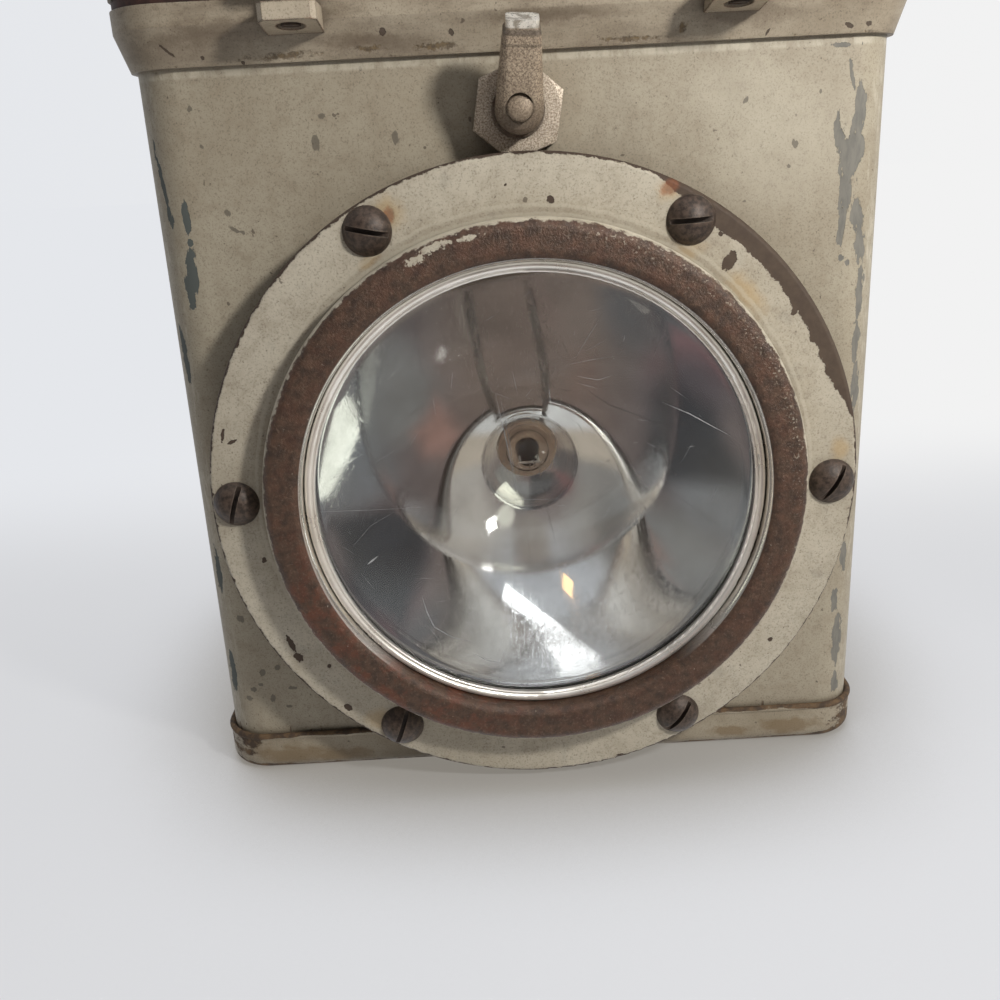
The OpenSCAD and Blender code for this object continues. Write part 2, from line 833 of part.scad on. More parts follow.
module cell_nuts() {
  grooves = 14;
  groove_r = 0.5;
  color(brass) at_cell_posts() translate([0, 0, cell_top]) difference() {
    cylinder(cell_nut_h, r = cell_nut_r);
    translate([0, 0, -cut]) cylinder(cell_nut_h + 2 * cut, r = post_r);
    for (i = [1:grooves]) rotate(360 * i / grooves)
      translate([cell_nut_r, 0, -cut]) cylinder(cell_nut_h + 2 * cut, r = groove_r);
  }
}

// Strap across the front of the cells, bent at its ends to tabs on the side walls
module cell_strap() {
  half = case_w / 2 - sheet_t;
  tab = 14;
  color(paint) translate([0, 0, strap_z]) linear_extrude(strap_h) {
    span([-half, strap_y], [half, strap_y + strap_t]);
    span([-half, strap_y - tab], [strap_t - half, strap_y]);
    span([half - strap_t, strap_y - tab], [half, strap_y]);
  }
}

module cell_pad() {
  side_gap = 0.5;
  pad_r = corner_r - pan_bend_r;
  pad_w = case_w - 2 * (pan_bend_r + side_gap);
  pad_d = case_d / 2 - 2 * (pan_bend_r + side_gap);
  color(rubber) translate([0, case_d / 4, pan_t]) linear_extrude(pad_t)
    rounded_rect(pad_w, pad_d, pad_r);
}

// Wire from the left cell's middle post to the switch
module wire_cell_to_switch() {
  color(dark_wire) wire([
    [-terminal_x, terminal_y, switch_z], [-terminal_x, terminal_y + wire_lead, switch_z],
    [-wire_x, (terminal_y + wire_y) / 2, switch_z], [-wire_x, wire_y, wire_top],
    [-cell_x, post_y, wire_top + wire_rise / 2], [-cell_x, cell_y, post_top + wire_rise],
    [-cell_x, cell_y, post_top]
  ], wire_r, back, down);
}

// Wire from the switch down past the reflector to the contact in the socket
module wire_switch_to_lamp() {
  color(red_wire) wire([
    [terminal_x, terminal_y, switch_z], [terminal_x, terminal_y + wire_lead, switch_z],
    [0, (terminal_y + wire_y) / 2, switch_z - wire_x], [-wire_x, wire_y, switch_z - 2 * wire_x],
    [-wire_x, wire_y, ring_z + wire_x], [-terminal_x, wire_y, ring_z + wire_r],
    [0, socket_y + wire_lead, ring_z], [0, socket_y, ring_z]
  ], wire_r, back, forward);
}

// Wire from the socket's tag to the right cell's edge post
module wire_lamp_to_cell() {
  color(dark_wire) wire([
    [0, socket_y, tag_z], [0, socket_y + wire_lead, tag_z], [terminal_x, wire_y, tag_z + wire_x],
    [cell_x, wire_y, cell_top - wire_x], [cell_x, wire_y, cell_top],
    [cell_x, post_y - wire_rise, wire_top], [cell_x, post_y, post_top + wire_rise],
    [cell_x, post_y, post_top]
  ], wire_r, back, down);
}

// Wire that joins the two cells
module wire_cell_link() {
  color(dark_wire) wire([
    [-cell_x, post_y, post_top], [-cell_x, post_y, post_top + wire_rise],
    [-cell_x / 2, post_y, wire_top], [cell_x / 2, cell_y, wire_top],
    [cell_x, cell_y, post_top + wire_rise], [cell_x, cell_y, post_top]
  ], wire_r, up, down);
}

// Pressed cover: a flat rim on the gasket and a raised crown
module cover() {
  bend_in = crown_in + crown_bend_r;
  color(paint) {
    around_case() {
      span([-crown_in - cover_t, cover_z], [collar_out, cover_z + cover_t]);
      span([-crown_in - cover_t, cover_z], [-crown_in, cover_top - crown_bend_r]);
      translate([-bend_in, cover_top - crown_bend_r]) bend(crown_bend_r, cover_t, true);
    }
    translate([0, 0, cover_top - cover_t]) linear_extrude(cover_t)
      rounded_rect(case_w - 2 * bend_in, case_d - 2 * bend_in, corner_r - bend_in);
  }
}

// Round-nosed ears on the cover's rim, over the lugs
module cover_ears() {
  root = crown_in + collar_out - 0.5;
  nose_r = lug_w / 2;
  color(paint) both_sides(lug_x) translate([0, 0, ear_z]) linear_extrude(ear_t) difference() {
    union() {
      span([-nose_r, hold_y], [nose_r, root - collar_face]);
      translate([0, hold_y]) circle(nose_r);
    }
    translate([0, hold_y]) circle(hold_r + run_gap);
  }
}

// Hinge leaves on the cover's rim, each with the middle knuckle
module hinge_cover_leaves() {
  half = knuckle_len / 2 - move_gap;
  root = crown_in + collar_out - 0.5;
  leaf_z = cover_z + cover_t;
  color(paint) both_sides(lug_x) difference() {
    union() {
      knuckle(-half, half, knuckle_r);
      translate([-half, collar_face - root, leaf_z])
        cube([2 * half, hinge_y - collar_face + root, leaf_t]);
    }
    knuckle(-half - cut, half + cut, pin_r + run_gap);
  }
}

// Bent brackets on the cover that the bail's ends turn in
module bail_brackets() {
  color(paint) for (side = [0, 1]) mirror([side, 0, 0]) translate([bracket_x, 0, 0]) difference() {
    union() {
      rotate([90, 0, 90]) linear_extrude(bracket_t) {
        span([-bracket_w / 2, cover_top], [bracket_w / 2, cover_top + bracket_t]);
        span([-bracket_head_r, cover_top], [bracket_head_r, bail_z]);
        translate([0, bail_z]) circle(bracket_head_r);
      }
      translate([0, -bracket_w / 2, cover_top])
        cube([bracket_t + foot_len, bracket_w, bracket_t]);
    }
    translate([-cut, 0, bail_z]) rotate([0, 90, 0])
      cylinder(bracket_t + 2 * cut, r = bail_r + run_gap);
  }
}

// Domed rivet heads on the brackets' feet
module bracket_rivets() {
  rivet_r = 2.2;
  dome = 1.4;
  dome_r = (rivet_r * rivet_r + dome * dome) / (2 * dome);
  color(bare_steel) both_sides(bracket_x + bracket_t + foot_len / 2) for (side = [-1, 1])
    translate([0, side * bracket_w / 3, cover_top + bracket_t]) intersection() {
      cylinder(dome, r = rivet_r);
      translate([0, 0, dome - dome_r]) sphere(dome_r);
    }
}

// Bend of the bail's rod through a quarter turn, lying flat
module bail_bend(turn) {
  rotate(turn) rotate_extrude(angle = 90) translate([bail_bend_r, 0]) circle(bail_r);
}

// Rod bail lying forward on the cover, its ends turned out through the brackets and headed over
module bail() {
  bar_y = -bail_len;
  head_t = 1.6;
  end_x = bail_x + bail_bend_r;
  color(bare_steel) translate([0, 0, bail_z]) {
    translate([-bail_x + bail_bend_r, bar_y, 0]) rotate([0, 90, 0])
      cylinder(2 * (bail_x - bail_bend_r), r = bail_r);
    for (side = [0, 1]) mirror([side, 0, 0]) {
      translate([bail_x - bail_bend_r, bar_y + bail_bend_r, 0]) bail_bend(270);
      translate([bail_x, -bail_bend_r, 0]) rotate([90, 0, 0])
        cylinder(bail_len - 2 * bail_bend_r, r = bail_r);
      translate([end_x, -bail_bend_r, 0]) bail_bend(90);
      translate([end_x, 0, 0]) rotate([0, 90, 0]) cylinder(bail_end - end_x, r = bail_r);
      translate([bail_end, 0, 0]) rotate([0, 90, 0]) cylinder(head_t, r = bail_r + 1.6);
    }
  }
}

// Turned wooden grip on the bail's bar
module bail_grip() {
  belly = 2;
  half = grip_len / 2;
  barrel_r = (half * half + belly * belly) / (2 * belly);
  color(wood) translate([0, -bail_len, bail_z]) rotate([0, 90, 0]) rotate_extrude()
    intersection() {
      translate([grip_r - barrel_r, 0]) circle(barrel_r, $fn = 720);
      span([bail_r, -half], [grip_r, half]);
    }
}

// Four upright rods at the corners of the lever's section, in from its sides and faces
module lever_rods(from, to, side_in, face_in) {
  rod_r = 1.2;
  for (sx = [-1, 1], sz = [-1, 1])
    translate([sx * (lever_w / 2 - side_in - rod_r), from, sz * (lever_t / 2 - face_in - rod_r)])
      rotate([-90, 0, 0]) cylinder(to - from, r = rod_r, $fn = hull_fn);
}

// Cast lever: a round hub, an arm that leans out to a bevelled shoulder, and a bare end
module switch_lever() {
  neck = 2;
  end_side_in = 0.5;
  end_face_in = 0.9;
  color(rust) front_of_case(switch_z) rotate(-lever_turn) translate([0, 0, lever_back])
    difference() {
      union() {
        hull() {
          cylinder(hub_h - hub_edge, r = hub_r, $fn = hull_fn);
          cylinder(hub_h, r = hub_r - hub_edge, $fn = hull_fn);
          translate([0, 0, hub_h / 2]) rotate([lever_lean, 0, 0]) {
            lever_rods(lever_flank - neck, lever_flank, 0, 0);
            lever_rods(lever_flank, lever_arm, end_side_in, end_face_in);
          }
        }
        translate([0, 0, hub_h / 2]) rotate([lever_lean, 0, 0]) hull()
          lever_rods(lever_arm - neck, lever_len, end_side_in, end_face_in);
      }
      translate([0, 0, -cut]) cylinder(lever_bore + 2 * cut, r = shaft_r);
    }
}

// Shaft from the switch body through the bushing to the lever's front
module switch_shaft() {
  color(bare_steel) front_of_case(switch_z) translate([0, 0, -sheet_t - shaft_in])
    cylinder(sheet_t + shaft_in + boss_back, r = shaft_r);
}

// Domed end of the shaft, set in the lever's sloping face
module lever_rivet() {
  dome = 0.8;
  dome_r = (shaft_r * shaft_r + dome * dome) / (2 * dome);
  color(bare_steel) front_of_case(switch_z) translate([0, 0, boss_back])
    intersection() {
      cylinder(dome, r = shaft_r);
      translate([0, 0, dome - dome_r]) sphere(dome_r);
    }
}

// Captive hold-down screw: knurled slotted head, a clip under the ear and a slotted end
module hold_screw(side) {
  grooves = 20;
  groove_r = 0.55;
  slot_w = 1.4;
  slot_d = 1.5;
  head_z = ear_top + 0.1;
  end_z = lug_root_z + 0.8;
  clip_top = ear_z - 0.2;
  head_top = head_z + hold_head_h;
  color(rust) translate([side * lug_x, hold_y, 0]) difference() {
    union() {
      translate([0, 0, end_z]) cylinder(head_z - end_z, r = hold_r);
      translate([0, 0, clip_top - clip_t]) cylinder(clip_t, r = clip_r);
      translate([0, 0, head_z]) cylinder(hold_head_h - 1, r = hold_head_r);
      translate([0, 0, head_top - 1]) cylinder(1, r1 = hold_head_r, r2 = hold_head_r - 1);
    }
    for (i = [1:grooves]) rotate(360 * i / grooves)
      translate([hold_head_r, 0, head_z - cut / 2]) cylinder(hold_head_h + cut, r = groove_r);
    translate([-hold_head_r - cut, -slot_w / 2, head_top - slot_d])
      cube([2 * (hold_head_r + cut), slot_w, slot_d + cut]);
    translate([-hold_r - cut, -slot_w / 2, end_z - cut])
      cube([2 * (hold_r + cut), slot_w, slot_d + cut]);
  }
}

module hold_screw_left() {
  hold_screw(-1);
}

module hold_screw_right() {
  hold_screw(1);
}

case_shell();
bottom_pan();
top_collar();
cover_gasket();
collar_lugs();
hinge_case_leaves();
hinge_pins();
lens_drum();
ring_gasket();
lens_ring();
ring_screws();
lens_gasket();
lens();
lens_bezel();
reflector_gasket();
reflector();
lamp_socket();
socket_insulator();
socket_contact();
bulb_globe();
bulb_base();
bulb_stem();
bulb_filament();
switch_body();
switch_bushing();
switch_washer();
switch_nut();
switch_terminals();
dry_cell_left();
dry_cell_right();
cell_seals();
cell_posts();
cell_nuts();
cell_strap();
cell_pad();
wire_cell_to_switch();
wire_switch_to_lamp();
wire_lamp_to_cell();
wire_cell_link();
cover();
cover_ears();
hinge_cover_leaves();
bail_brackets();
bracket_rivets();
bail();
bail_grip();
switch_lever();
switch_shaft();
lever_rivet();
hold_screw_left();
hold_screw_right();
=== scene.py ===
"""Looks of the battle lantern: materials, finer pieces, floor, light and camera."""

import math

import bmesh
import bpy
import numpy as np
from mathutils import Matrix, Vector


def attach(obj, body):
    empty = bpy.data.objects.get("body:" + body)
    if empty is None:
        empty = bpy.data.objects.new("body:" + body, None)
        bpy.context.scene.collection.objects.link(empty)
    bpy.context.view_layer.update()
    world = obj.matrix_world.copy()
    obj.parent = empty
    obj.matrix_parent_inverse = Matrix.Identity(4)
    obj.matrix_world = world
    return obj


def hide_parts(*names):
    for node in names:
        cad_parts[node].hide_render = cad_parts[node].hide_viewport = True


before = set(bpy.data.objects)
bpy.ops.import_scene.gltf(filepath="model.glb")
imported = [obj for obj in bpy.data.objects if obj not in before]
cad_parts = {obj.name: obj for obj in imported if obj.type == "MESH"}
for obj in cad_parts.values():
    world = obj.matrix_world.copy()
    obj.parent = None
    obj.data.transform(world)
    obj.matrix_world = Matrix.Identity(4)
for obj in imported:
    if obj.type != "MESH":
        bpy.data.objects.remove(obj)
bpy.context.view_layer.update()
scene = bpy.context.scene
scene.view_settings.view_transform = "Standard"

MM = 0.001

# Camera at the photograph's place
CAMERA_PLACE = (-0.0108, -0.3180, 0.1595)
CAMERA_PITCH = 18.54
CAMERA_YAW = -0.48
CAMERA_ROLL = -3.02
SENSOR = 36.0
LENS = 36.05
CLIP_START = 0.01

# Lamp axis and case front, in millimetres
RING_Z = 82.0
FRONT_Y = -70.0
RING_Y = -82.5
BEAD_Y = -90.5
COLLAR_Y = -72.6
PAN_Y = -71.4

# Heights of the wear round the case, and of the painted highlight line under the collar, in metres:
# lines, and pairs where wear starts and is full
HIGHLIGHT_UNDER_COLLAR = 0.1822
COLLAR_SEAM = 0.1838
COLLAR_TOP = (0.1890, 0.1935)
CASE_FOOT = (0.024, 0.009)
PAN_LIP = 0.0112
PAN_FOOT = (0.0030, 0.0004)

# Wear of the case towards its upright corners, from the middle across and along, and behind the front
SIDE_WEAR = (0.066, 0.089)
END_WEAR = (0.048, 0.071)
BEHIND_FRONT = (-0.064, -0.056)

# Lens ring by distance from the axis in millimetres: worn edge, painted highlight lines, bead's start,
# crest, wall
RING_WORN = (79.3, 79.6)
HIGHLIGHT_LINE = 66.3
SECOND_HIGHLIGHT_LINE = 68.4
BEAD_START = (65.6, 65.2)
BEAD_CREST = 63.6
BEAD_WALL = (57.3, 57.0)

# Where that wall turns bright, by height and behind the bead's front, in metres
WALL_BRIGHT = (0.036, 0.056)
WALL_BEHIND = (-0.0903, -0.0900)

# Switch lever: its foot, its line, and along that line in millimetres its hub, bare end and the painted
# shade lines below that end
LEVER_FOOT = (0, -79.55, 170.8)
LEVER_LINE = (0.0569, -0.4226, 0.9045)
LEVER_HUB = (6.0, -3.0)
LEVER_BARE = 17.75
LEVER_SHOULDER_SHADE = LEVER_BARE - 0.5
SECOND_SHOULDER_SHADE = LEVER_BARE - 3.0


def rgb(red, green, blue):
    """Linear colour with alpha from the usual 0 to 255 values."""
    parts = [c / 255 for c in (red, green, blue)]
    linear = [c / 12.92 if c <= 0.04045 else ((c + 0.055) / 1.055) ** 2.4 for c in parts]
    return (*linear, 1.0)


def add_object(name, data):
    obj = bpy.data.objects.new(name, data)
    scene.collection.objects.link(obj)
    return obj


def add_mesh(name, verts, faces):
    mesh = bpy.data.meshes.new(name)
    mesh.from_pydata(verts, [], faces)
    return add_object(name, mesh)


def make_camera():
    """Camera at the photograph's place, turned from level by pitch, yaw and roll."""
    level = Matrix(((1, 0, 0), (0, 0, -1), (0, 1, 0)))
    pitch = Matrix.Rotation(math.radians(CAMERA_PITCH), 3, "X")
    yaw = Matrix.Rotation(math.radians(CAMERA_YAW), 3, "Y")
    roll = Matrix.Rotation(math.radians(CAMERA_ROLL), 3, "Z")
    to_camera = roll @ pitch @ yaw @ level
    turn = to_camera.transposed() @ Matrix.Diagonal((1, -1, -1))
    data = bpy.data.cameras.new("camera")
    data.sensor_width = SENSOR
    data.lens = LENS
    data.clip_start = CLIP_START
    scene.camera = add_object("camera", data)
    scene.camera.matrix_world = Matrix.Translation(CAMERA_PLACE) @ turn.to_4x4()


class Tree:
    """Short names for the nodes of one material or world."""

    def __init__(self, tree):
        self.tree = tree

    def node(self, kind, **settings):
        made = self.tree.nodes.new("ShaderNode" + kind)
        for name, value in settings.items():
            setattr(made, name, value)
        return made

    def put(self, value, socket):
        if isinstance(value, bpy.types.NodeSocket):
            self.tree.links.new(value, socket)
        else:
            socket.default_value = value

    def math(self, operation, a, b=0.0, clamp=False):
        made = self.node("Math", operation=operation, use_clamp=clamp)
        self.put(a, made.inputs[0])
        self.put(b, made.inputs[1])
        return made.outputs[0]

    def times(self, a, b, clamp=False):
        return self.math("MULTIPLY", a, b, clamp)

    def plus(self, a, b):
        return self.math("ADD", a, b)

    def less(self, a, b, clamp=False):
        return self.math("SUBTRACT", a, b, clamp)

    def most(self, best, *others):
        """Largest of several values."""
        for value in others:
            best = self.math("MAXIMUM", best, value)
        return best

    def near(self, value, middle, far, close):
        """1 where a value is close to a middle one and 0 where it is far from it."""
        return self.ramp(self.math("ABSOLUTE", self.less(value, middle)), far, close)

    def vector(self, operation, a, b=(0, 0, 0)):
        made = self.node("VectorMath", operation=operation)
        self.put(a, made.inputs[0])
        self.put(b, made.inputs[1])
        return made.outputs["Value" if operation in ("LENGTH", "DOT_PRODUCT") else "Vector"]

    def ramp(self, value, low, high, start=0.0, end=1.0):
        """Smooth step from start at low to end at high."""
        made = self.node("MapRange", interpolation_type="SMOOTHSTEP")
        self.put(value, made.inputs["Value"])
        self.put(low, made.inputs["From Min"])
        self.put(high, made.inputs["From Max"])
        self.put(start, made.inputs["To Min"])
        self.put(end, made.inputs["To Max"])
        return made.outputs["Result"]

    def mix(self, share, a, b):
        made = self.node("Mix", data_type="RGBA")
        self.put(share, made.inputs["Factor"])
        self.put(a, made.inputs["A"])
        self.put(b, made.inputs["B"])
        return [s for s in made.outputs if s.name == "Result" and s.type == "RGBA"][0]

    def layer(self, under, share, strength, over):
        """Colour with another over part of it, up to a strength."""
        return self.mix(self.times(share, strength), under, over)

    def split(self, vector):
        """Parts of a vector."""
        made = self.node("SeparateXYZ")
        self.put(vector, made.inputs[0])
        return made.outputs

    def surface(self, share, under, over):
        """Surface that goes from one shader to another by a share."""
        made = self.node("MixShader")
        for value, socket in zip((share, under.outputs[0], over.outputs[0]), made.inputs):
            self.put(value, socket)
        self.put(made.outputs[0], self.tree.nodes["Material Output"].inputs["Surface"])


class Shader(Tree):
    """One material on Principled BSDF, with patterns in the part's own frame."""

    def __init__(self, name, rough=0.5, metal=0.0):
        self.material = bpy.data.materials.new(name)
        self.material.use_nodes = True
        super().__init__(self.material.node_tree)
        self.bsdf = self.tree.nodes["Principled BSDF"]
        self.bsdf.inputs["Roughness"].default_value = rough
        self.bsdf.inputs["Metallic"].default_value = metal
        self.place = self.node("TexCoord").outputs["Object"]
        self.x, self.y, self.z = self.split(self.place)

    def set(self, **inputs):
        for name, value in inputs.items():
            self.put(value, self.bsdf.inputs[name.replace("_", " ")])
        return self.material

    def noise(self, size, detail, rough, stretch=None, colour=False, shift=0.0):
        """Noise whose grains measure about size millimetres, pulled out along stretch."""
        made = self.node("TexNoise")
        place = self.place
        if stretch or shift:
            turned = self.node("Mapping")
            self.put(place, turned.inputs["Vector"])
            turned.inputs["Location"].default_value = (shift, shift, shift)
            if stretch:
                turned.inputs["Scale"].default_value = [1 / s for s in stretch]
            place = turned.outputs["Vector"]
        self.put(place, made.inputs["Vector"])
        made.inputs["Scale"].default_value = 1 / (size * MM)
        made.inputs["Detail"].default_value = detail
        made.inputs["Roughness"].default_value = rough
        return made.outputs["Color" if colour else "Fac"]

    def ragged(self, size, detail, rough, **more):
        """Noise about zero, for ragged outlines."""
        return self.less(self.noise(size, detail, rough, **more), 0.5)

    def warped(self, size, reach):
        """Place pushed about by noise, so that outlines drawn with it are ragged."""
        push = self.vector("SUBTRACT", self.noise(size, 4, 0.6, colour=True), (0.5, 0.5, 0.5))
        made = self.node("VectorMath", operation="MULTIPLY_ADD")
        self.put(push, made.inputs[0])
        made.inputs[1].default_value = (2 * reach * MM,) * 3
        self.put(self.place, made.inputs[2])
        return made.outputs[0]

    def spot(self, place, centre, half, tilt=0.0):
        """1 at an ellipsoid's centre and 0 at its edge, in millimetres, tilted in the front plane."""
        turned = self.node("Mapping", vector_type="TEXTURE")
        self.put(place, turned.inputs["Vector"])
        turned.inputs["Location"].default_value = [c * MM for c in centre]
        turned.inputs["Rotation"].default_value = (0, math.radians(tilt), 0)
        turned.inputs["Scale"].default_value = [h * MM for h in half]
        made = self.node("TexGradient", gradient_type="SPHERICAL")
        self.put(turned.outputs["Vector"], made.inputs["Vector"])
        return made.outputs["Fac"]

    def spots(self, place, y, rows, depth=6.0):
        """Largest of several spots on a front plane, each a half at its half width and height."""
        found = []
        for x, z, half_x, half_z, *tilt in rows:
            found.append(self.spot(place, (x, y, z), (2 * half_x, depth, 2 * half_z), *tilt))
        return self.most(*found)

    def edge(self, radius):
        """About 1 on corners sharper than a radius in millimetres and 0 on flats."""
        bevel = self.node("Bevel", samples=6)
        bevel.inputs["Radius"].default_value = radius * MM
        normal = self.node("NewGeometry").outputs["Normal"]
        same = self.vector("DOT_PRODUCT", bevel.outputs["Normal"], normal)
        return self.ramp(same, 0.985, 0.80)

    def crevice(self, reach, samples=6):
        """1 deep in corners and gaps, 0 in the open."""
        made = self.node("AmbientOcclusion", samples=samples)
        made.inputs["Distance"].default_value = reach * MM
        return self.less(1.0, made.outputs["AO"])

    def bump(self, height, depth, radius=0.0):
        """Surface relief of a depth in millimetres, over edges rounded to a radius."""
        made = self.node("Bump")
        made.inputs["Distance"].default_value = depth * MM
        made.inputs["Strength"].default_value = 1.0
        self.put(height, made.inputs["Height"])
        if radius:
            bevel = self.node("Bevel", samples=4)
            bevel.inputs["Radius"].default_value = radius * MM
            self.put(bevel.outputs["Normal"], made.inputs["Normal"])
        self.put(made.outputs["Normal"], self.bsdf.inputs["Normal"])

    def from_axis(self, place):
        """Distance from the lamp's axis, in millimetres."""
        flat = self.vector("MULTIPLY", place, (1 / MM, 0, 1 / MM))
        return self.vector("LENGTH", self.vector("SUBTRACT", flat, (0, 0, RING_Z)))


# Colours of old paint, dirt, rust and the layers under the paint; grime also paints shade into corners
# and gaps, with a near-black for the plain pieces, and cream also paints highlights
PAINT_LIGHT = rgb(172, 163, 144)
PAINT_DARK = rgb(161, 151, 132)
RING_LIGHT = rgb(192, 184, 167)
RING_DARK = rgb(176, 167, 149)
CREAM = rgb(208, 201, 183)
PRIMER = rgb(112, 110, 104)
PRIMER_DARK = rgb(88, 93, 90)
GRIME_AND_SHADE = rgb(84, 72, 58)
SOIL = rgb(132, 118, 98)
RUST_DARK = rgb(60, 46, 38)
RUST_BROWN = rgb(90, 68, 54)
RUST_RED = rgb(106, 62, 45)
RUST_ORANGE = rgb(150, 92, 52)
BARE_BROWN = rgb(80, 66, 53)
STAIN_YELLOW = rgb(180, 152, 106)
CREVICE_DIRT_AND_SHADE = (0.01, 0.009, 0.008, 1)

# Step down to bare places, rounding of edges and reach of chips in millimetres, and roughness
PAINT_STEP = 0.12
PAINT_EDGE = 0.35
CHIP_DEPTH = 24
PAINT_ROUGH = 0.48
BARE_ROUGH = 0.74


def paint_layers(s, light, dark):
    """Colour of sound old paint: broad tone, mottling, fine dark specks."""
    tone = s.ramp(s.noise(38, 4, 0.62), 0.36, 0.64)
    colour = s.mix(tone, dark, light)
    mottle = s.ramp(s.noise(5.0, 6, 0.74), 0.42, 0.72)
    colour = s.layer(colour, mottle, 0.40, SOIL)
    grain = s.ramp(s.noise(0.42, 3, 0.65), 0.48, 0.74)
    colour = s.layer(colour, grain, 0.50, GRIME_AND_SHADE)
    specks = s.ramp(s.noise(1.1, 3, 0.6, shift=0.31), 0.67, 0.73)
    colour = s.layer(colour, specks, 0.70, GRIME_AND_SHADE)
    dots = s.ramp(s.noise(3.0, 2, 0.5, shift=0.57), 0.745, 0.765)
    return s.layer(colour, dots, 0.65, RUST_DARK)


def finish_paint(s, colour, bare):
    """Paint with bare places: their roughness and the step down at their edges."""
    grain = s.noise(0.9, 3, 0.6)
    swell = s.noise(26, 2, 0.5)
    height = s.less(s.times(swell, 1.6), bare)
    height = s.plus(height, s.times(grain, 0.22))
    s.bump(height, PAINT_STEP, PAINT_EDGE)
    rough = s.plus(s.ramp(bare, 0, 1, PAINT_ROUGH, BARE_ROUGH), s.times(grain, 0.12))
    return s.set(Base_Color=colour, Roughness=rough)


# Chips, spots and stains: place across and up, half width and height in millimetres, tilt in degrees
CASE_CHIPS = [
    (80.0, 166.6, 1.5, 5.5), (78.4, 157.4, 2.7, 7.5), (75.7, 162.0, 1.5, 4.5),
    (74.6, 164.0, 0.7, 3.4), (81.0, 159.0, 1.0, 2.8), (77.4, 148.7, 1.6, 4.8),
    (77.1, 142.3, 0.9, 5.0), (81.0, 143.4, 1.6, 5.0, -14), (82.2, 136.2, 1.5, 4.8),
    (83.0, 125.6, 1.0, 7.5), (77.3, 133.8, 0.7, 0.9), (79.2, 132.3, 0.7, 0.9),
    (77.5, 174.9, 0.45, 4.2, -14), (74.6, 181.4, 2.8, 0.5), (82.8, 113.0, 1.1, 5.0),
    (83.4, 100.5, 1.2, 6.0), (83.1, 53.9, 1.2, 5.0), (81.1, 42.3, 1.1, 4.0), (82.6, 30.1, 1.5, 7.0),
    (82.9, 16.0, 1.2, 3.0),
]
CASE_DARK_CHIPS = [
    (-79.6, 151.3, 1.2, 4.4), (-79.6, 145.4, 0.6, 0.9), (-79.9, 138.4, 1.4, 4.8),
    (-81.0, 133.5, 1.0, 4.0), (-84.6, 159.7, 0.5, 9.0, -7), (-83.8, 151.6, 0.8, 2.6),
    (-85.5, 118.0, 0.8, 7.0), (-85.4, 60.0, 0.9, 6.0), (-85.4, 30.0, 1.1, 6.0),
]
CASE_SPOTS = [
    (-47.1, 166.2, 0.9, 1.9, 8), (-28.4, 166.4, 0.8, 1.3), (-45.3, 171.8, 0.6, 0.6),
    (-75.2, 174.9, 0.6, 0.6), (-73.4, 166.8, 0.5, 0.5), (-69.7, 151.7, 0.8, 0.8),
    (-67.9, 147.7, 0.4, 1.7, -60), (52.9, 170.6, 0.45, 1.0, 35), (64.9, 160.6, 0.7, 1.1),
    (63.5, 155.4, 0.6, 0.5), (70.7, 171.5, 0.4, 0.5), (-80.6, 46.3, 0.8, 1.1),
    (-76.6, 30.3, 0.9, 0.8), (-72.1, 31.2, 0.7, 0.7), (-79.5, 24.9, 0.9, 0.7),
    (-81.3, 21.9, 1.0, 0.9), (-68.7, 24.8, 1.3, 0.6, 12), (-74.5, 22.0, 0.8, 1.0),
    (-77.5, 26.5, 0.6, 0.6), (-70.5, 19.0, 0.8, 0.5),
]


def corner_wear(s):
    """1 on the upright corners of the case and 0 a few centimetres away."""
    side = s.ramp(s.math("ABSOLUTE", s.x), *SIDE_WEAR)
    end = s.ramp(s.math("ABSOLUTE", s.y), *END_WEAR)
    return s.times(side, end)


def corner_line(s):
    """1 along the middle of each rounded upright corner, where a highlight is painted."""
    across, along, _ = s.split(s.node("NewGeometry").outputs["Normal"])
    return s.ramp(s.math("ABSOLUTE", s.times(across, along)), 0.40, 0.49)


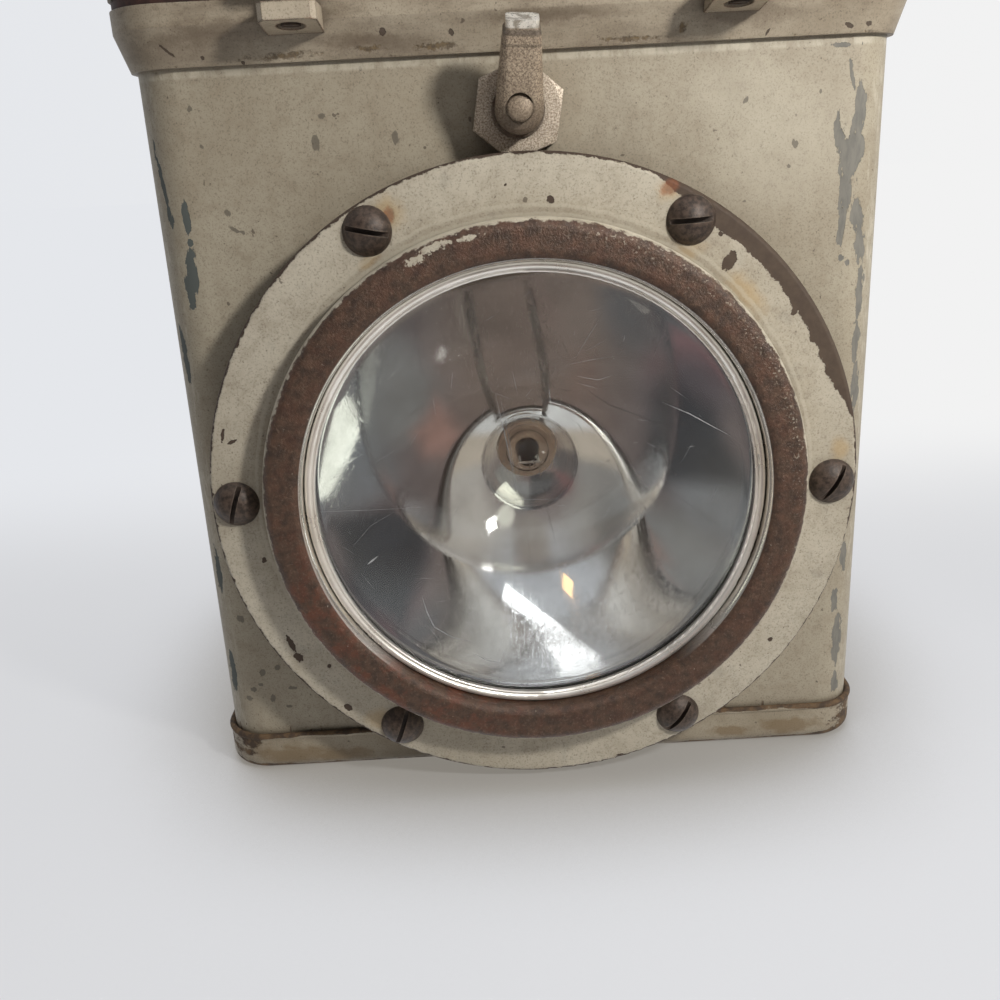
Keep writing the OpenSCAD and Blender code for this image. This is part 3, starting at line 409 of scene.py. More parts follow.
def case_paint():
    s = Shader("case_paint")
    colour = paint_layers(s, PAINT_LIGHT, PAINT_DARK)
    place = s.warped(4, 0.9)
    ragged = s.ragged(4.0, 5, 0.66, stretch=(1, 1, 2.6))
    fine = s.ragged(1.1, 4, 0.6, stretch=(1, 1, 3.4), shift=0.2)
    torn = s.plus(ragged, s.times(fine, 0.9))
    grey = s.ramp(s.plus(s.spots(place, FRONT_Y, CASE_CHIPS, CHIP_DEPTH), torn), 0.50, 0.54)
    dark = s.plus(s.spots(place, FRONT_Y, CASE_DARK_CHIPS, CHIP_DEPTH), torn)
    dark = s.ramp(dark, 0.47, 0.54)
    spots = s.plus(s.spots(place, FRONT_Y, CASE_SPOTS), s.times(fine, 1.2))
    spots = s.ramp(spots, 0.44, 0.56)
    corner = s.ramp(s.plus(s.times(corner_wear(s), 0.24), s.times(torn, 0.95)), 0.50, 0.54)
    # Chips on the sides and back, which the photograph doesn't show
    hidden = s.plus(s.noise(11, 6, 0.70, shift=0.83), s.times(corner_wear(s), 0.05))
    hidden = s.times(s.ramp(hidden, 0.655, 0.665), s.ramp(s.y, *BEHIND_FRONT))
    foot = s.times(s.ramp(s.z, *CASE_FOOT), 0.34)
    rust = s.ramp(s.plus(foot, s.times(torn, 0.9)), 0.44, 0.52)
    smear = s.ramp(s.noise(16, 4, 0.6, stretch=(1, 1, 2.5), shift=0.7), 0.52, 0.75)
    colour = s.layer(colour, smear, 0.14, GRIME_AND_SHADE)
    cloud = s.spots(s.warped(30, 12), FRONT_Y, [(63, 160, 16, 15), (50, 172, 12, 6)], 40)
    colour = s.mix(s.ramp(cloud, 0.25, 0.80, 0, 0.22), colour, CREAM)
    # Painted highlights: lighter lines along the corners, broken up like rubbed paint, and under the
    # collar
    corner_highlight = s.times(corner_line(s), s.ramp(torn, -0.05, 0.30, 0.0, 0.50))
    under = s.near(s.z, HIGHLIGHT_UNDER_COLLAR, 0.0013, 0.0004)
    under = s.times(under, s.ramp(ragged, -0.10, 0.10, 0.10, 0.55))
    colour = s.mix(s.most(corner_highlight, under), colour, CREAM)
    # Painted shade and dirt: the paint darkens in corners and gaps
    colour = s.layer(colour, s.crevice(9), 0.60, GRIME_AND_SHADE)
    colour = s.layer(colour, spots, 0.75, rgb(92, 86, 76))
    colour = s.mix(grey, colour, s.mix(s.ramp(fine, -0.15, 0.15), PRIMER, rgb(126, 123, 115)))
    colour = s.mix(s.most(dark, corner, hidden), colour, PRIMER_DARK)
    colour = s.layer(colour, rust, 0.8, RUST_BROWN)
    bare = s.most(grey, dark, corner, hidden, rust)
    return finish_paint(s, colour, bare)


def worn_paint(name, light, dark, rust_share, chip_edge=1.2, rust=RUST_BROWN):
    """Paint that has worn to rust along its edges, for the smaller painted pieces."""
    s = Shader(name)
    colour = paint_layers(s, light, dark)
    ragged = s.ragged(3.5, 5, 0.62)
    edge = s.times(s.edge(chip_edge), rust_share)
    wear = s.ramp(s.plus(edge, s.times(ragged, 1.5)), 0.44, 0.50)
    wear = s.most(wear, s.ramp(s.noise(9, 6, 0.70, shift=0.83), 0.675, 0.685))
    # Painted shade and dirt: darker in corners and gaps
    colour = s.layer(colour, s.crevice(7), 0.75, GRIME_AND_SHADE)
    tone = s.ramp(s.noise(2.4, 4, 0.6, shift=0.2), 0.40, 0.64)
    colour = s.mix(wear, colour, s.mix(tone, RUST_DARK, rust))
    return finish_paint(s, colour, wear)


PAN_STAINS = [
    (-72.0, 5.0, 11.0, 2.8, 4), (-56.0, 3.6, 9.0, 1.8), (70.0, 5.0, 8.0, 2.2),
    (52.0, 4.0, 6.0, 1.4),
]


def pan_paint():
    s = Shader("pan_paint")
    colour = paint_layers(s, rgb(170, 160, 141), rgb(148, 137, 117))
    place = s.warped(4, 1.2)
    ragged = s.ragged(4, 6, 0.65, stretch=(1.8, 1.8, 1))
    stain = s.plus(s.spots(place, PAN_Y, PAN_STAINS, 20), s.times(ragged, 1.3))
    colour = s.mix(s.ramp(stain, 0.30, 0.75, 0, 0.65), colour, rgb(116, 94, 62))
    lip = s.near(s.z, PAN_LIP, 0.0016, 0.0003)
    foot = s.ramp(s.z, *PAN_FOOT)
    corner = s.times(corner_wear(s), 0.52)
    field = s.most(s.times(lip, 0.62), s.times(foot, 0.60))
    field = s.plus(field, corner)
    rust = s.ramp(s.plus(field, s.times(ragged, 1.2)), 0.38, 0.50)
    tone = s.ramp(s.noise(2.2, 4, 0.6, shift=0.4), 0.38, 0.66)
    # Painted shade and dirt: darker in corners and gaps
    colour = s.layer(colour, s.crevice(6), 0.7, GRIME_AND_SHADE)
    colour = s.mix(rust, colour, s.mix(tone, rgb(68, 54, 42), rgb(106, 84, 60)))
    return finish_paint(s, colour, rust)


COLLAR_RUST = [
    (-52, 184.8, 9, 0.8, -2), (-33, 185.4, 4, 0.7), (-18, 185.2, 5, 0.9, -1), (26, 184.6, 7, 0.6),
    (37.8, 186.6, 1.0, 1.4),
]
COLLAR_SMEARS = [
    (-66, 190.2, 13, 1.8, -4), (-30, 187.0, 12, 1.6), (8, 190.5, 16, 1.6), (52, 189.0, 12, 2.0, 4),
]
COLLAR_MARKS = [
    (-77.8, 187.0, 0.3, 2.0, -48), (-70.1, 185.2, 0.5, 0.5), (-61.2, 183.9, 0.5, 0.5),
    (75.5, 185.2, 1.1, 0.5, 20), (80.1, 185.2, 0.7, 0.5), (57.2, 184.6, 0.3, 0.9, 30),
    (-29.5, 188.5, 0.8, 0.8), (-14.0, 187.9, 0.6, 0.6),
]


def collar_paint():
    s = Shader("collar_paint")
    colour = paint_layers(s, rgb(172, 161, 142), rgb(154, 142, 123))
    place = s.warped(3, 0.7)
    ragged = s.ragged(3.0, 6, 0.68, stretch=(2, 2, 1))
    fine = s.ragged(0.9, 4, 0.66, shift=0.3)
    torn = s.plus(s.times(ragged, 0.9), s.times(fine, 1.3))
    seam = s.near(s.z, COLLAR_SEAM, 0.0008, 0.0)
    field = s.most(s.times(seam, 0.44), s.spots(place, COLLAR_Y, COLLAR_RUST))
    rust = s.ramp(s.plus(field, torn), 0.42, 0.86)
    dark = s.plus(s.spots(place, COLLAR_Y, COLLAR_MARKS), s.times(fine, 0.5))
    dark = s.ramp(dark, 0.46, 0.54)
    band = s.ramp(s.z, *COLLAR_TOP)
    grime = s.ramp(s.noise(9, 6, 0.7, stretch=(3.0, 3.0, 1)), 0.42, 0.68)
    grime = s.times(grime, s.plus(0.50, s.times(band, 0.30)))
    colour = s.mix(grime, colour, rgb(96, 82, 66))
    smear = s.plus(s.spots(s.warped(8, 3), COLLAR_Y, COLLAR_SMEARS, 20), s.times(torn, 0.4))
    colour = s.mix(s.ramp(smear, 0.20, 0.80, 0, 0.48), colour, rgb(84, 68, 52))
    # Painted shade and dirt: darker in corners and gaps
    colour = s.layer(colour, s.crevice(6), 0.85, rgb(52, 43, 36))
    edge = s.times(s.edge(1.0), 0.40)
    worn = s.ramp(s.plus(edge, torn), 0.56, 0.62)
    tone = s.ramp(s.noise(1.4, 4, 0.6, shift=0.5), 0.40, 0.64)
    colour = s.layer(colour, rust, 0.8, s.mix(tone, rgb(74, 60, 44), rgb(112, 92, 62)))
    colour = s.mix(s.most(s.times(dark, 0.85), worn), colour, RUST_DARK)
    return finish_paint(s, colour, s.most(rust, dark, worn))


RING_CHIPS = [
    (47.0, 135.6, 1.5, 2.2, 20), (62.6, 123.4, 0.6, 1.4, 25), (44.9, 141.6, 0.6, 0.6),
    (-64.8, 44.6, 0.7, 2.6, -20), (-63.4, 40.4, 1.2, 1.6, -30), (-74.6, 100.8, 0.4, 1.8, 15),
    (-72.6, 99.2, 1.4, 0.4, -20), (-55.6, 37.4, 0.5, 0.5), (-76.6, 86.0, 0.6, 2.0),
    (-52.0, 25.0, 1.2, 0.8, 40), (6.2, 151.4, 0.9, 0.7, 30), (-4.2, 154.9, 0.4, 0.4),
    (5.2, 145.6, 1.8, 0.5), (-68.7, 68.1, 0.5, 0.9, 20), (60.0, 38.0, 0.7, 0.5),
    (20.0, 5.6, 0.9, 0.5),
]
RING_STAINS = [
    (-31.0, 150.2, 3.6, 3.6), (34.5, 152.8, 4.2, 2.6, -30), (75.4, 89.0, 2.2, 3.0),
    (36.0, 137.0, 5.0, 2.4, -30), (51.0, 128.0, 2.6, 6.0, -38), (-44.0, 21.0, 3.6, 2.8),
    (-36.0, 139.6, 2.6, 1.2, -30),
]
RING_RED = [
    (33.2, 152.8, 2.4, 1.6, -30), (-30.6, 149.6, 1.2, 1.8), (40.5, 147.4, 2.0, 1.2, -40),
]
BEAD_REMNANTS = [
    (-20.0, 142.8, 5.0, 1.1, -18), (-25.0, 140.2, 3.4, 1.0, -22), (-12.5, 144.4, 3.0, 0.8, -11),
]


def ring_paint():
    s = Shader("ring_paint")
    colour = paint_layers(s, RING_LIGHT, RING_DARK)
    place = s.warped(3, 0.8)
    ragged = s.ragged(3.2, 6, 0.68)
    fine = s.ragged(1.0, 4, 0.64, shift=0.15)
    away = s.from_axis(place)
    # Paint worn from the ring's edge, widest on the upper right
    wide = s.ramp(s.spot(s.place, (61, RING_Y, 132), (46, 40, 46)), 0.10, 0.48)
    gone = s.times(ragged, s.ramp(wide, 0, 1, 1.5, 3.2))
    gone = s.plus(gone, s.times(fine, 0.9))
    gone = s.plus(s.times(wide, 4.0), gone)
    band = s.ramp(s.plus(away, gone), *RING_WORN)
    chips = s.plus(s.spots(place, RING_Y, RING_CHIPS), s.times(ragged, 0.5))
    chips = s.ramp(s.plus(chips, s.times(fine, 0.6)), 0.48, 0.53)
    stain = s.plus(s.spots(place, RING_Y, RING_STAINS), s.times(ragged, 0.7))
    colour = s.mix(s.ramp(stain, 0.25, 0.85, 0, 0.55), colour, STAIN_YELLOW)
    red = s.plus(s.spots(place, RING_Y, RING_RED), s.times(ragged, 0.8))
    red = s.ramp(red, 0.35, 0.75)
    # Grey scuffs towards the bead, and two painted highlight lines along it
    scuff = s.ramp(s.noise(8, 5, 0.66, shift=0.6), 0.54, 0.72)
    colour = s.layer(colour, scuff, 0.22, PRIMER)
    highlight_lines = s.near(away, HIGHLIGHT_LINE, 0.8, 0.2)
    second_painted_line = s.near(away, SECOND_HIGHLIGHT_LINE, 0.7, 0.2)
    highlight_lines = s.most(highlight_lines, s.times(second_painted_line, 0.6))
    colour = s.layer(colour, highlight_lines, 0.6, CREAM)
    # Painted shade and dirt: darker in corners and gaps
    colour = s.layer(colour, s.crevice(4), 0.8, GRIME_AND_SHADE)
    # Rusted bead inside the paint's ragged end
    torn = s.plus(s.times(ragged, 1.8), s.times(fine, 1.6))
    bead = s.ramp(s.plus(away, torn), *BEAD_START)
    left = s.spots(place, BEAD_Y, BEAD_REMNANTS, 10)
    left = s.plus(left, s.plus(s.times(ragged, 1.2), s.times(fine, 1.6)))
    left = s.ramp(left, 0.56, 0.64)
    flecks = s.ramp(s.noise(1.2, 3, 0.6, shift=0.13), 0.70, 0.74)
    # Painted glints: bright points along the bead's crest on the right, where the rust gives way to the
    # paint's colour
    crest = s.near(away, BEAD_CREST, 2.6, 0.6)
    crest_glints = s.times(crest, s.ramp(s.spot(s.place, (44, BEAD_Y, 118), (60, 60, 60)), 0.10, 0.45))
    crest_glints = s.times(crest_glints, s.ramp(s.noise(0.55, 2, 0.5, shift=0.44), 0.60, 0.68))
    kept_paint_and_glints = s.most(left, s.times(flecks, 0.6), s.times(crest_glints, 0.55))
    bead = s.times(bead, s.less(1.0, kept_paint_and_glints))
    tone = s.ramp(s.noise(2.6, 6, 0.7, shift=0.4), 0.34, 0.66)
    rust = s.mix(tone, RUST_DARK, RUST_BROWN)
    low_left = s.ramp(s.spot(s.place, (-42, BEAD_Y, 40), (52, 40, 52)), 0.05, 0.6)
    redder = s.ramp(s.noise(5, 5, 0.66, shift=0.9), 0.44, 0.62)
    redder = s.times(redder, s.plus(0.25, s.times(low_left, 0.7)))
    rust = s.mix(s.times(redder, 0.75, True), rust, RUST_RED)
    dust = s.ramp(s.noise(0.7, 3, 0.6, shift=0.2), 0.54, 0.72)
    rust = s.layer(rust, dust, 0.28, rgb(140, 118, 98))
    bared = s.mix(s.ramp(wide, 0.1, 0.6), rgb(70, 56, 46), s.mix(tone, rgb(70, 56, 45), BARE_BROWN))
    colour = s.mix(s.most(band, chips), colour, bared)
    colour = s.layer(colour, red, 0.7, s.mix(tone, rgb(116, 70, 46), RUST_ORANGE))
    colour = s.mix(bead, colour, rust)
    # Inner wall of the bead, bright metal apart from its foot
    inner = s.times(s.ramp(s.from_axis(s.place), *BEAD_WALL), s.ramp(s.z, *WALL_BRIGHT))
    inner = s.times(inner, s.ramp(s.y, *WALL_BEHIND))
    colour = s.mix(inner, colour, rgb(232, 229, 223))
    bare = s.most(band, chips, s.times(red, 0.6))
    grain = s.noise(0.6, 4, 0.68)
    height = s.less(s.times(grain, s.ramp(bead, 0, 1, 0.2, 1.6)), bare)
    height = s.less(height, s.times(bead, 0.8))
    height = s.times(height, s.less(1.0, inner))
    s.bump(height, 0.17, 0.35)
    rough = s.plus(s.ramp(bare, 0, 1, 0.46, 0.66), s.times(grain, 0.14))
    rough = s.less(rough, s.times(bead, 0.12))
    rough = s.less(rough, s.times(inner, 0.30), True)
    metal = s.most(s.times(bead, 0.25), inner)
    return s.set(Base_Color=colour, Roughness=rough, Metallic=metal)


def rusted_metal(name, dark, light, rough, metal, size=1.6, polish=0.3):
    """Oxidised metal with grain, and edges rubbed brighter."""
    s = Shader(name)
    tone = s.ramp(s.noise(size, 5, 0.65), 0.34, 0.68)
    colour = s.mix(tone, dark, light)
    colour = s.layer(colour, s.edge(0.7), polish, rgb(150, 134, 118))
    # Painted shade and dirt: darker in crevices
    colour = s.layer(colour, s.crevice(2.5), 0.8, rgb(30, 24, 21))
    grain = s.noise(0.6, 4, 0.65)
    s.bump(grain, 0.10, 0.25)
    roughness = s.plus(rough, s.times(s.less(grain, 0.5), 0.3))
    return s.set(Base_Color=colour, Roughness=roughness, Metallic=metal)


def speckle(s, light, dark):
    """Grain of fine dark and light specks, and its colour."""
    grain = s.noise(0.40, 4, 0.72)
    colour = s.mix(s.ramp(grain, 0.36, 0.64), dark, light)
    patch = s.ramp(s.noise(4, 4, 0.6), 0.46, 0.70)
    return grain, s.layer(colour, patch, 0.30, dark)


def nut_plating():
    """Worn plating with fine speckle and dark lines along the edges."""
    s = Shader("nut_plating")
    grain, colour = speckle(s, rgb(218, 206, 188), rgb(136, 120, 104))
    colour = s.layer(colour, s.edge(0.35), 0.60, rgb(70, 58, 48))
    # Painted shade and dirt: darker in crevices
    colour = s.layer(colour, s.crevice(2.5), 0.75, rgb(44, 36, 30))
    s.bump(grain, 0.08, 0.4)
    return s.set(Base_Color=colour, Roughness=s.ramp(grain, 0.3, 0.7, 0.56, 0.38), Metallic=0.30)


def lever_casting():
    """Cast lever: speckled arm, dark hub, and a bare bright end above painted shade lines at its
    shoulder.
    """
    s = Shader("lever_casting")
    grain, colour = speckle(s, rgb(184, 167, 145), rgb(112, 97, 82))
    foot = [c * MM for c in LEVER_FOOT]
    along = s.vector("DOT_PRODUCT", s.vector("SUBTRACT", s.place, foot), LEVER_LINE)
    along = s.times(along, 1 / MM)
    colour = s.mix(s.ramp(along, *LEVER_HUB, 0, 0.78), colour, rgb(78, 65, 53))
    # The middle of the hub, where the shaft's end shows, is rubbed
    middle = s.spot(s.place, (0.1, LEVER_FOOT[1] - 6.5, LEVER_FOOT[2] + 1.4), (4.6, 9, 5.6))
    colour = s.mix(s.ramp(middle, 0.10, 0.60, 0, 0.25), colour, rgb(134, 119, 102))
    # Painted shade: dark lines where the lever steps to its bare end
    shoulder_shade = s.near(along, LEVER_SHOULDER_SHADE, 0.9, 0.2)
    second_painted_line = s.near(along, SECOND_SHOULDER_SHADE, 0.5, 0.1)
    shoulder_shade = s.most(shoulder_shade, s.times(second_painted_line, 0.6))
    colour = s.layer(colour, shoulder_shade, 0.75, rgb(54, 44, 36))
    # Painted shade and dirt: darker in crevices
    colour = s.layer(colour, s.crevice(3), 0.75, rgb(44, 36, 30))
    bare = s.ramp(along, LEVER_BARE, LEVER_BARE + 0.4)
    patches = s.ramp(s.noise(2.6, 3, 0.55, shift=0.37), 0.40, 0.56)
    colour = s.mix(bare, colour, s.mix(patches, rgb(158, 150, 138), rgb(226, 221, 212)))
    rough = s.less(s.ramp(grain, 0.3, 0.7, 0.62, 0.44), s.times(bare, 0.20))
    s.bump(grain, 0.10, 0.5)
    return s.set(Base_Color=colour, Roughness=rough, Metallic=s.plus(0.25, s.times(bare, 0.35)))


def plain(name, dark, light, rough, metal=0.0, size=2.5, relief=0.06, crevice_dirt_and_shade=0.6):
    """Simple material with grain in its colour, gloss and relief."""
    s = Shader(name)
    grain = s.noise(size, 5, 0.62)
    colour = s.mix(s.ramp(grain, 0.34, 0.66), dark, light)
    # Painted shade and dirt: near-black in crevices, by the given share
    colour = s.layer(colour, s.crevice(4, 4), crevice_dirt_and_shade, CREVICE_DIRT_AND_SHADE)
    s.bump(grain, relief)
    roughness = s.plus(rough, s.times(s.less(grain, 0.5), 0.25))
    return s.set(Base_Color=colour, Roughness=roughness, Metallic=metal)


def glass(name, tint, bend, hazy=False):
    """Clear glass; the lens has a haze of dust."""
    s = Shader(name, rough=0.0)
    s.bsdf.inputs["Transmission Weight"].default_value = 1.0
    s.bsdf.inputs["IOR"].default_value = bend
    s.bsdf.inputs["Base Color"].default_value = tint
    if hazy:
        haze = s.ramp(s.noise(18, 4, 0.6), 0.40, 0.75)
        grain = s.ramp(s.noise(0.8, 3, 0.6, stretch=(1, 1, 2.5)), 0.58, 0.70)
        s.bump(grain, 0.008)
        s.set(Roughness=s.plus(s.times(grain, 0.05), s.times(haze, 0.03)))
    return s.material


def mirror():
    """Silvered reflector with dull clouds and fine specks."""
    s = Shader("silvering", rough=0.05, metal=1.0)
    cloud = s.ramp(s.noise(14, 4, 0.6), 0.35, 0.75)
    colour = s.mix(cloud, rgb(230, 232, 234), rgb(212, 213, 214))
    specks = s.ramp(s.noise(0.7, 3, 0.6, shift=0.3), 0.70, 0.74)
    colour = s.layer(colour, specks, 0.35, rgb(120, 116, 112))
    rough = s.plus(0.03, s.times(cloud, 0.05))
    return s.set(Base_Color=colour, Roughness=rough)


def wood():
    s = Shader("grip_wood")
    grain = s.noise(1.2, 5, 0.6, stretch=(14, 1, 1))
    colour = s.mix(s.ramp(grain, 0.35, 0.65), rgb(46, 29, 19), rgb(92, 60, 36))
    worn = s.ramp(s.noise(11, 4, 0.6, shift=0.3), 0.50, 0.66)
    colour = s.layer(colour, worn, 0.55, rgb(124, 92, 60))
    s.bump(grain, 0.14)
    return s.set(Base_Color=colour, Roughness=s.ramp(worn, 0, 1, 0.38, 0.62))


# Lower and upper edge of the cells' paper band, in metres
BAND_LOW = (0.030, 0.0305)
BAND_HIGH = (0.138, 0.1385)


def cell_jacket():
    s = Shader("cell_jacket")
    grain = s.noise(2.5, 5, 0.62)
    colour = s.mix(s.ramp(grain, 0.34, 0.66), rgb(92, 66, 46), rgb(126, 94, 66))
    band = s.less(s.ramp(s.z, *BAND_LOW), s.ramp(s.z, *BAND_HIGH))
    colour = s.mix(band, rgb(60, 44, 34), colour)
    s.bump(grain, 0.08)
    return s.set(Base_Color=colour, Roughness=0.62)


# Angles in degrees below which edges are shaded smooth, and the distance in metres that joins points
CAD_SMOOTH = 32
TURNED_SMOOTH = 35
SAME_POINT = 1e-7


def lathe(name, profile, steps, closed=True):
    """Surface turned about the lamp's axis from radius and distance out of the case front."""
    verts, faces = [], []
    rows = len(profile)
    for i in range(steps):
        turn = 2 * math.pi * i / steps
        for radius, out in profile:
            verts.append((
                radius * math.cos(turn) * MM,
                (FRONT_Y - out) * MM,
                (RING_Z + radius * math.sin(turn)) * MM,
            ))
    for i in range(steps):
        for j in range(rows if closed else rows - 1):
            a, b = i * rows + j, i * rows + (j + 1) % rows
            c, d = ((i + 1) % steps) * rows + (j + 1) % rows, ((i + 1) % steps) * rows + j
            faces.append((a, b, c, d))
    obj = add_mesh(name, verts, faces)
    work = bmesh.new()
    work.from_mesh(obj.data)
    bmesh.ops.remove_doubles(work, verts=work.verts, dist=SAME_POINT)
    bmesh.ops.recalc_face_normals(work, faces=work.faces)
    work.to_mesh(obj.data)
    work.free()
    smooth(obj, TURNED_SMOOTH)
    return obj


def smooth(obj, angle):
    obj.data.polygons.foreach_set("use_smooth", [True] * len(obj.data.polygons))
    obj.data.set_sharp_from_angle(angle=math.radians(angle))


# Reflector, lens and bulb in millimetres: radii, thicknesses, and places out from the case front
LENS_BACK = 10.5
LENS_FRONT = 14.0
LENS_DOME = 5.0
LENS_R = 61.7
FRONT_EDGE = 56.0
BACK_EDGE = 53.0
REFLECTOR_D = 42.8
MOUTH_R = 54.0
NECK_R = 8.7
FOCAL = MOUTH_R ** 2 / (4 * REFLECTOR_D)
VERTEX = LENS_BACK - REFLECTOR_D
FOCUS = VERTEX + FOCAL
GLOBE_R = 13.2
GLOBE_T = 0.5
GLOBE_NECK_R = 6.2
BULB_BASE = -28.2
SHEET = 0.9
NECK_LENGTH = 8

# Steps round the axis, and points along the profiles
WIDE_STEPS = 192
GLOBE_STEPS = 128
DISH_POINTS = 100
DISH_BACK_POINTS = 50
DOME_POINTS = 40
GLOBE_POINTS = 48


def dish(radius):
    return VERTEX + radius * radius / (4 * FOCAL)


def make_reflector():
    """Smooth dish with a flat rim, in the place of the CAD reflector."""
    front = np.linspace(NECK_R, MOUTH_R - 0.3, DISH_POINTS)
    back = np.linspace(MOUTH_R - 0.6, NECK_R + 0.1, DISH_BACK_POINTS)
    inner = [(r, dish(r)) for r in front]
    rim = [
        (MOUTH_R + 0.1, LENS_BACK - 0.08),
        (MOUTH_R + 0.6, LENS_BACK),
        (LENS_R, LENS_BACK),
        (LENS_R, LENS_BACK - 1),
    ]
    outer = [(r + SHEET, dish(r) - 0.5) for r in back]
    neck = [(NECK_R + SHEET, VERTEX - NECK_LENGTH), (NECK_R, VERTEX - NECK_LENGTH)]
    return lathe("reflector_dish", inner + rim + outer + neck, WIDE_STEPS)


def dome_height(away, edge, back):
    """How far out a dome of the lens lies at a distance from the axis."""
    radius = (edge * edge + LENS_DOME * LENS_DOME) / (2 * LENS_DOME)
    return back + LENS_DOME - radius + math.sqrt(radius * radius - away * away)


def dome(edge, back):
    """Points of a dome from its edge to the axis."""
    return [(r, dome_height(r, edge, back)) for r in np.linspace(edge, 0, DOME_POINTS)]


def make_lens():
    """Smooth domed lens with a flat rim."""
    back = dome(BACK_EDGE, LENS_BACK)[::-1]
    rim = [(LENS_R, LENS_BACK), (LENS_R, LENS_FRONT)]
    return lathe("lens_dome", back + rim + dome(FRONT_EDGE, LENS_FRONT), WIDE_STEPS, closed=False)


def globe_side(radius, neck):
    """Points of a globe from its neck to its crown."""
    start = math.asin(neck / radius)
    turns = np.linspace(start, math.pi, GLOBE_POINTS)
    return [(neck, BULB_BASE)] + [(radius * math.sin(t), FOCUS - radius * math.cos(t)) for t in turns]


def make_globe():
    """Thin glass globe on a short neck."""
    outer = globe_side(GLOBE_R, GLOBE_NECK_R)
    inner = globe_side(GLOBE_R - GLOBE_T, GLOBE_NECK_R - GLOBE_T)
    return lathe("bulb_bubble", inner + outer[::-1] + inner[:1], GLOBE_STEPS, closed=False)


# Scratches on the lens: half width in millimetres, then points across and up from the floor
SCRATCHES = [
    (0.08, [(-8.7, 108.7), (-6.7, 97.4), (-4.9, 85.7)]),
    (0.05, [(-7.6, 108.0), (-5.8, 96.2), (-4.7, 85.2)]),
    (0.06, [(3.8, 110.6), (4.4, 103.5)]),
    (0.16, [(-29.7, 57.7), (-28.8, 53.0), (-27.3, 48.6), (-23.0, 45.5), (-17.9, 43.9)]),
    (0.04, [(10.3, 115.6), (13.5, 120.4), (16.9, 125.2)]),
    (0.03, [(8.1, 114.3), (13.8, 115.1), (19.7, 115.7)]),
    (0.10, [(30.7, 104.1), (37.5, 100.7), (43.4, 97.0), (47.7, 94.4)]),
    (0.05, [(-34.8, 80.5), (-41.0, 76.9), (-45.8, 71.6)]),
    (0.03, [(-53.0, 80.7), (-40.2, 81.1), (-26.4, 81.6)]),
    (0.06, [(-5.1, 43.9), (-2.0, 45.2), (0.6, 48.3)]),
    (0.10, [(-18.1, 40.8), (-14.6, 38.2), (-10.1, 36.8)]),
    (0.05, [(10.6, 111.6), (15.5, 110.4), (19.1, 111.3)]),
    (0.03, [(-13.7, 82.9), (5.6, 82.1)]),
    (0.25, [(-42.8, 66.5), (-39.8, 68.9)]),
]

# Fine scratches strewn between them, and the shape of all scratches
FAINT_SCRATCHES = 90
SCRATCH_SEED = 7
SCRATCH_STEP = 1.0
SCRATCH_HEIGHT = 0.05
SCRATCH_SUNK = -0.01
SCRATCH_TIP = 0.15
SCRATCH_FIELD = 50
SCRATCH_LEANS = [80, 100, 10, -30, 45]
LEAN_SPREAD = 16
FAINT_REACH = 0.6
FAINT_REACH_MORE = 2.2
FAINT_HALF = 0.02


def lens_front(x, z):
    """Distance of the lens's front face out from the case front."""
    return dome_height(math.hypot(x, z - RING_Z), FRONT_EDGE, LENS_FRONT)


def faint_scratches():
    """Short fine scratches spread over the lens in a few main directions."""
    draw = np.random.default_rng(SCRATCH_SEED)
    rows = []
    for _ in range(FAINT_SCRATCHES):
        away, turn = SCRATCH_FIELD * math.sqrt(draw.random()), 2 * math.pi * draw.random()
        x, z = away * math.cos(turn), RING_Z + away * math.sin(turn)
        lean = math.radians(draw.choice(SCRATCH_LEANS) + LEAN_SPREAD * draw.normal())
        reach = FAINT_REACH + FAINT_REACH_MORE * draw.random() ** 2
        dx, dz = reach * math.cos(lean), reach * math.sin(lean)
        half = FAINT_HALF + FAINT_HALF * draw.random()
        rows.append((half, [(x - dx, z - dz), (x, z), (x + dx, z + dz)]))
    return rows


def make_scratches():
    """Low closed ridges along the scratches, narrowing to their ends."""
    verts, faces = [], []
    for half, points in SCRATCHES + faint_scratches():
        path = []
        for (xa, za), (xb, zb) in zip(points, points[1:]):
            count = max(2, round(math.hypot(xb - xa, zb - za) / SCRATCH_STEP))
            path += [(xa + (xb - xa) * i / count, za + (zb - za) * i / count) for i in range(count)]
        path.append(points[-1])
        first = len(verts)
        for i, (x, z) in enumerate(path):
            xa, za = path[max(i - 1, 0)]
            xb, zb = path[min(i + 1, len(path) - 1)]
            length = math.hypot(xb - xa, zb - za)
            swell = math.sin(math.pi * i / (len(path) - 1))
            share = half * (SCRATCH_TIP + (1 - SCRATCH_TIP) * swell)
            ax, az = -(zb - za) / length * share, (xb - xa) / length * share
            ridge = (
                (x + ax, z + az, SCRATCH_SUNK),
                (x, z, SCRATCH_HEIGHT),
                (x - ax, z - az, SCRATCH_SUNK),
            )
            for px, pz, lift in ridge:
                verts.append((px * MM, (FRONT_Y - lens_front(px, pz) - lift) * MM, pz * MM))
        for i in range(len(path) - 1):
            a, b = first + 3 * i, first + 3 * i + 3
            faces += [(a + j, a + (j + 1) % 3, b + (j + 1) % 3, b + j) for j in range(3)]
        faces += [(first, first + 2, first + 1), (len(verts) - 3, len(verts) - 2, len(verts) - 1)]
    return add_mesh("lens_scratches", verts, faces)


make_camera()

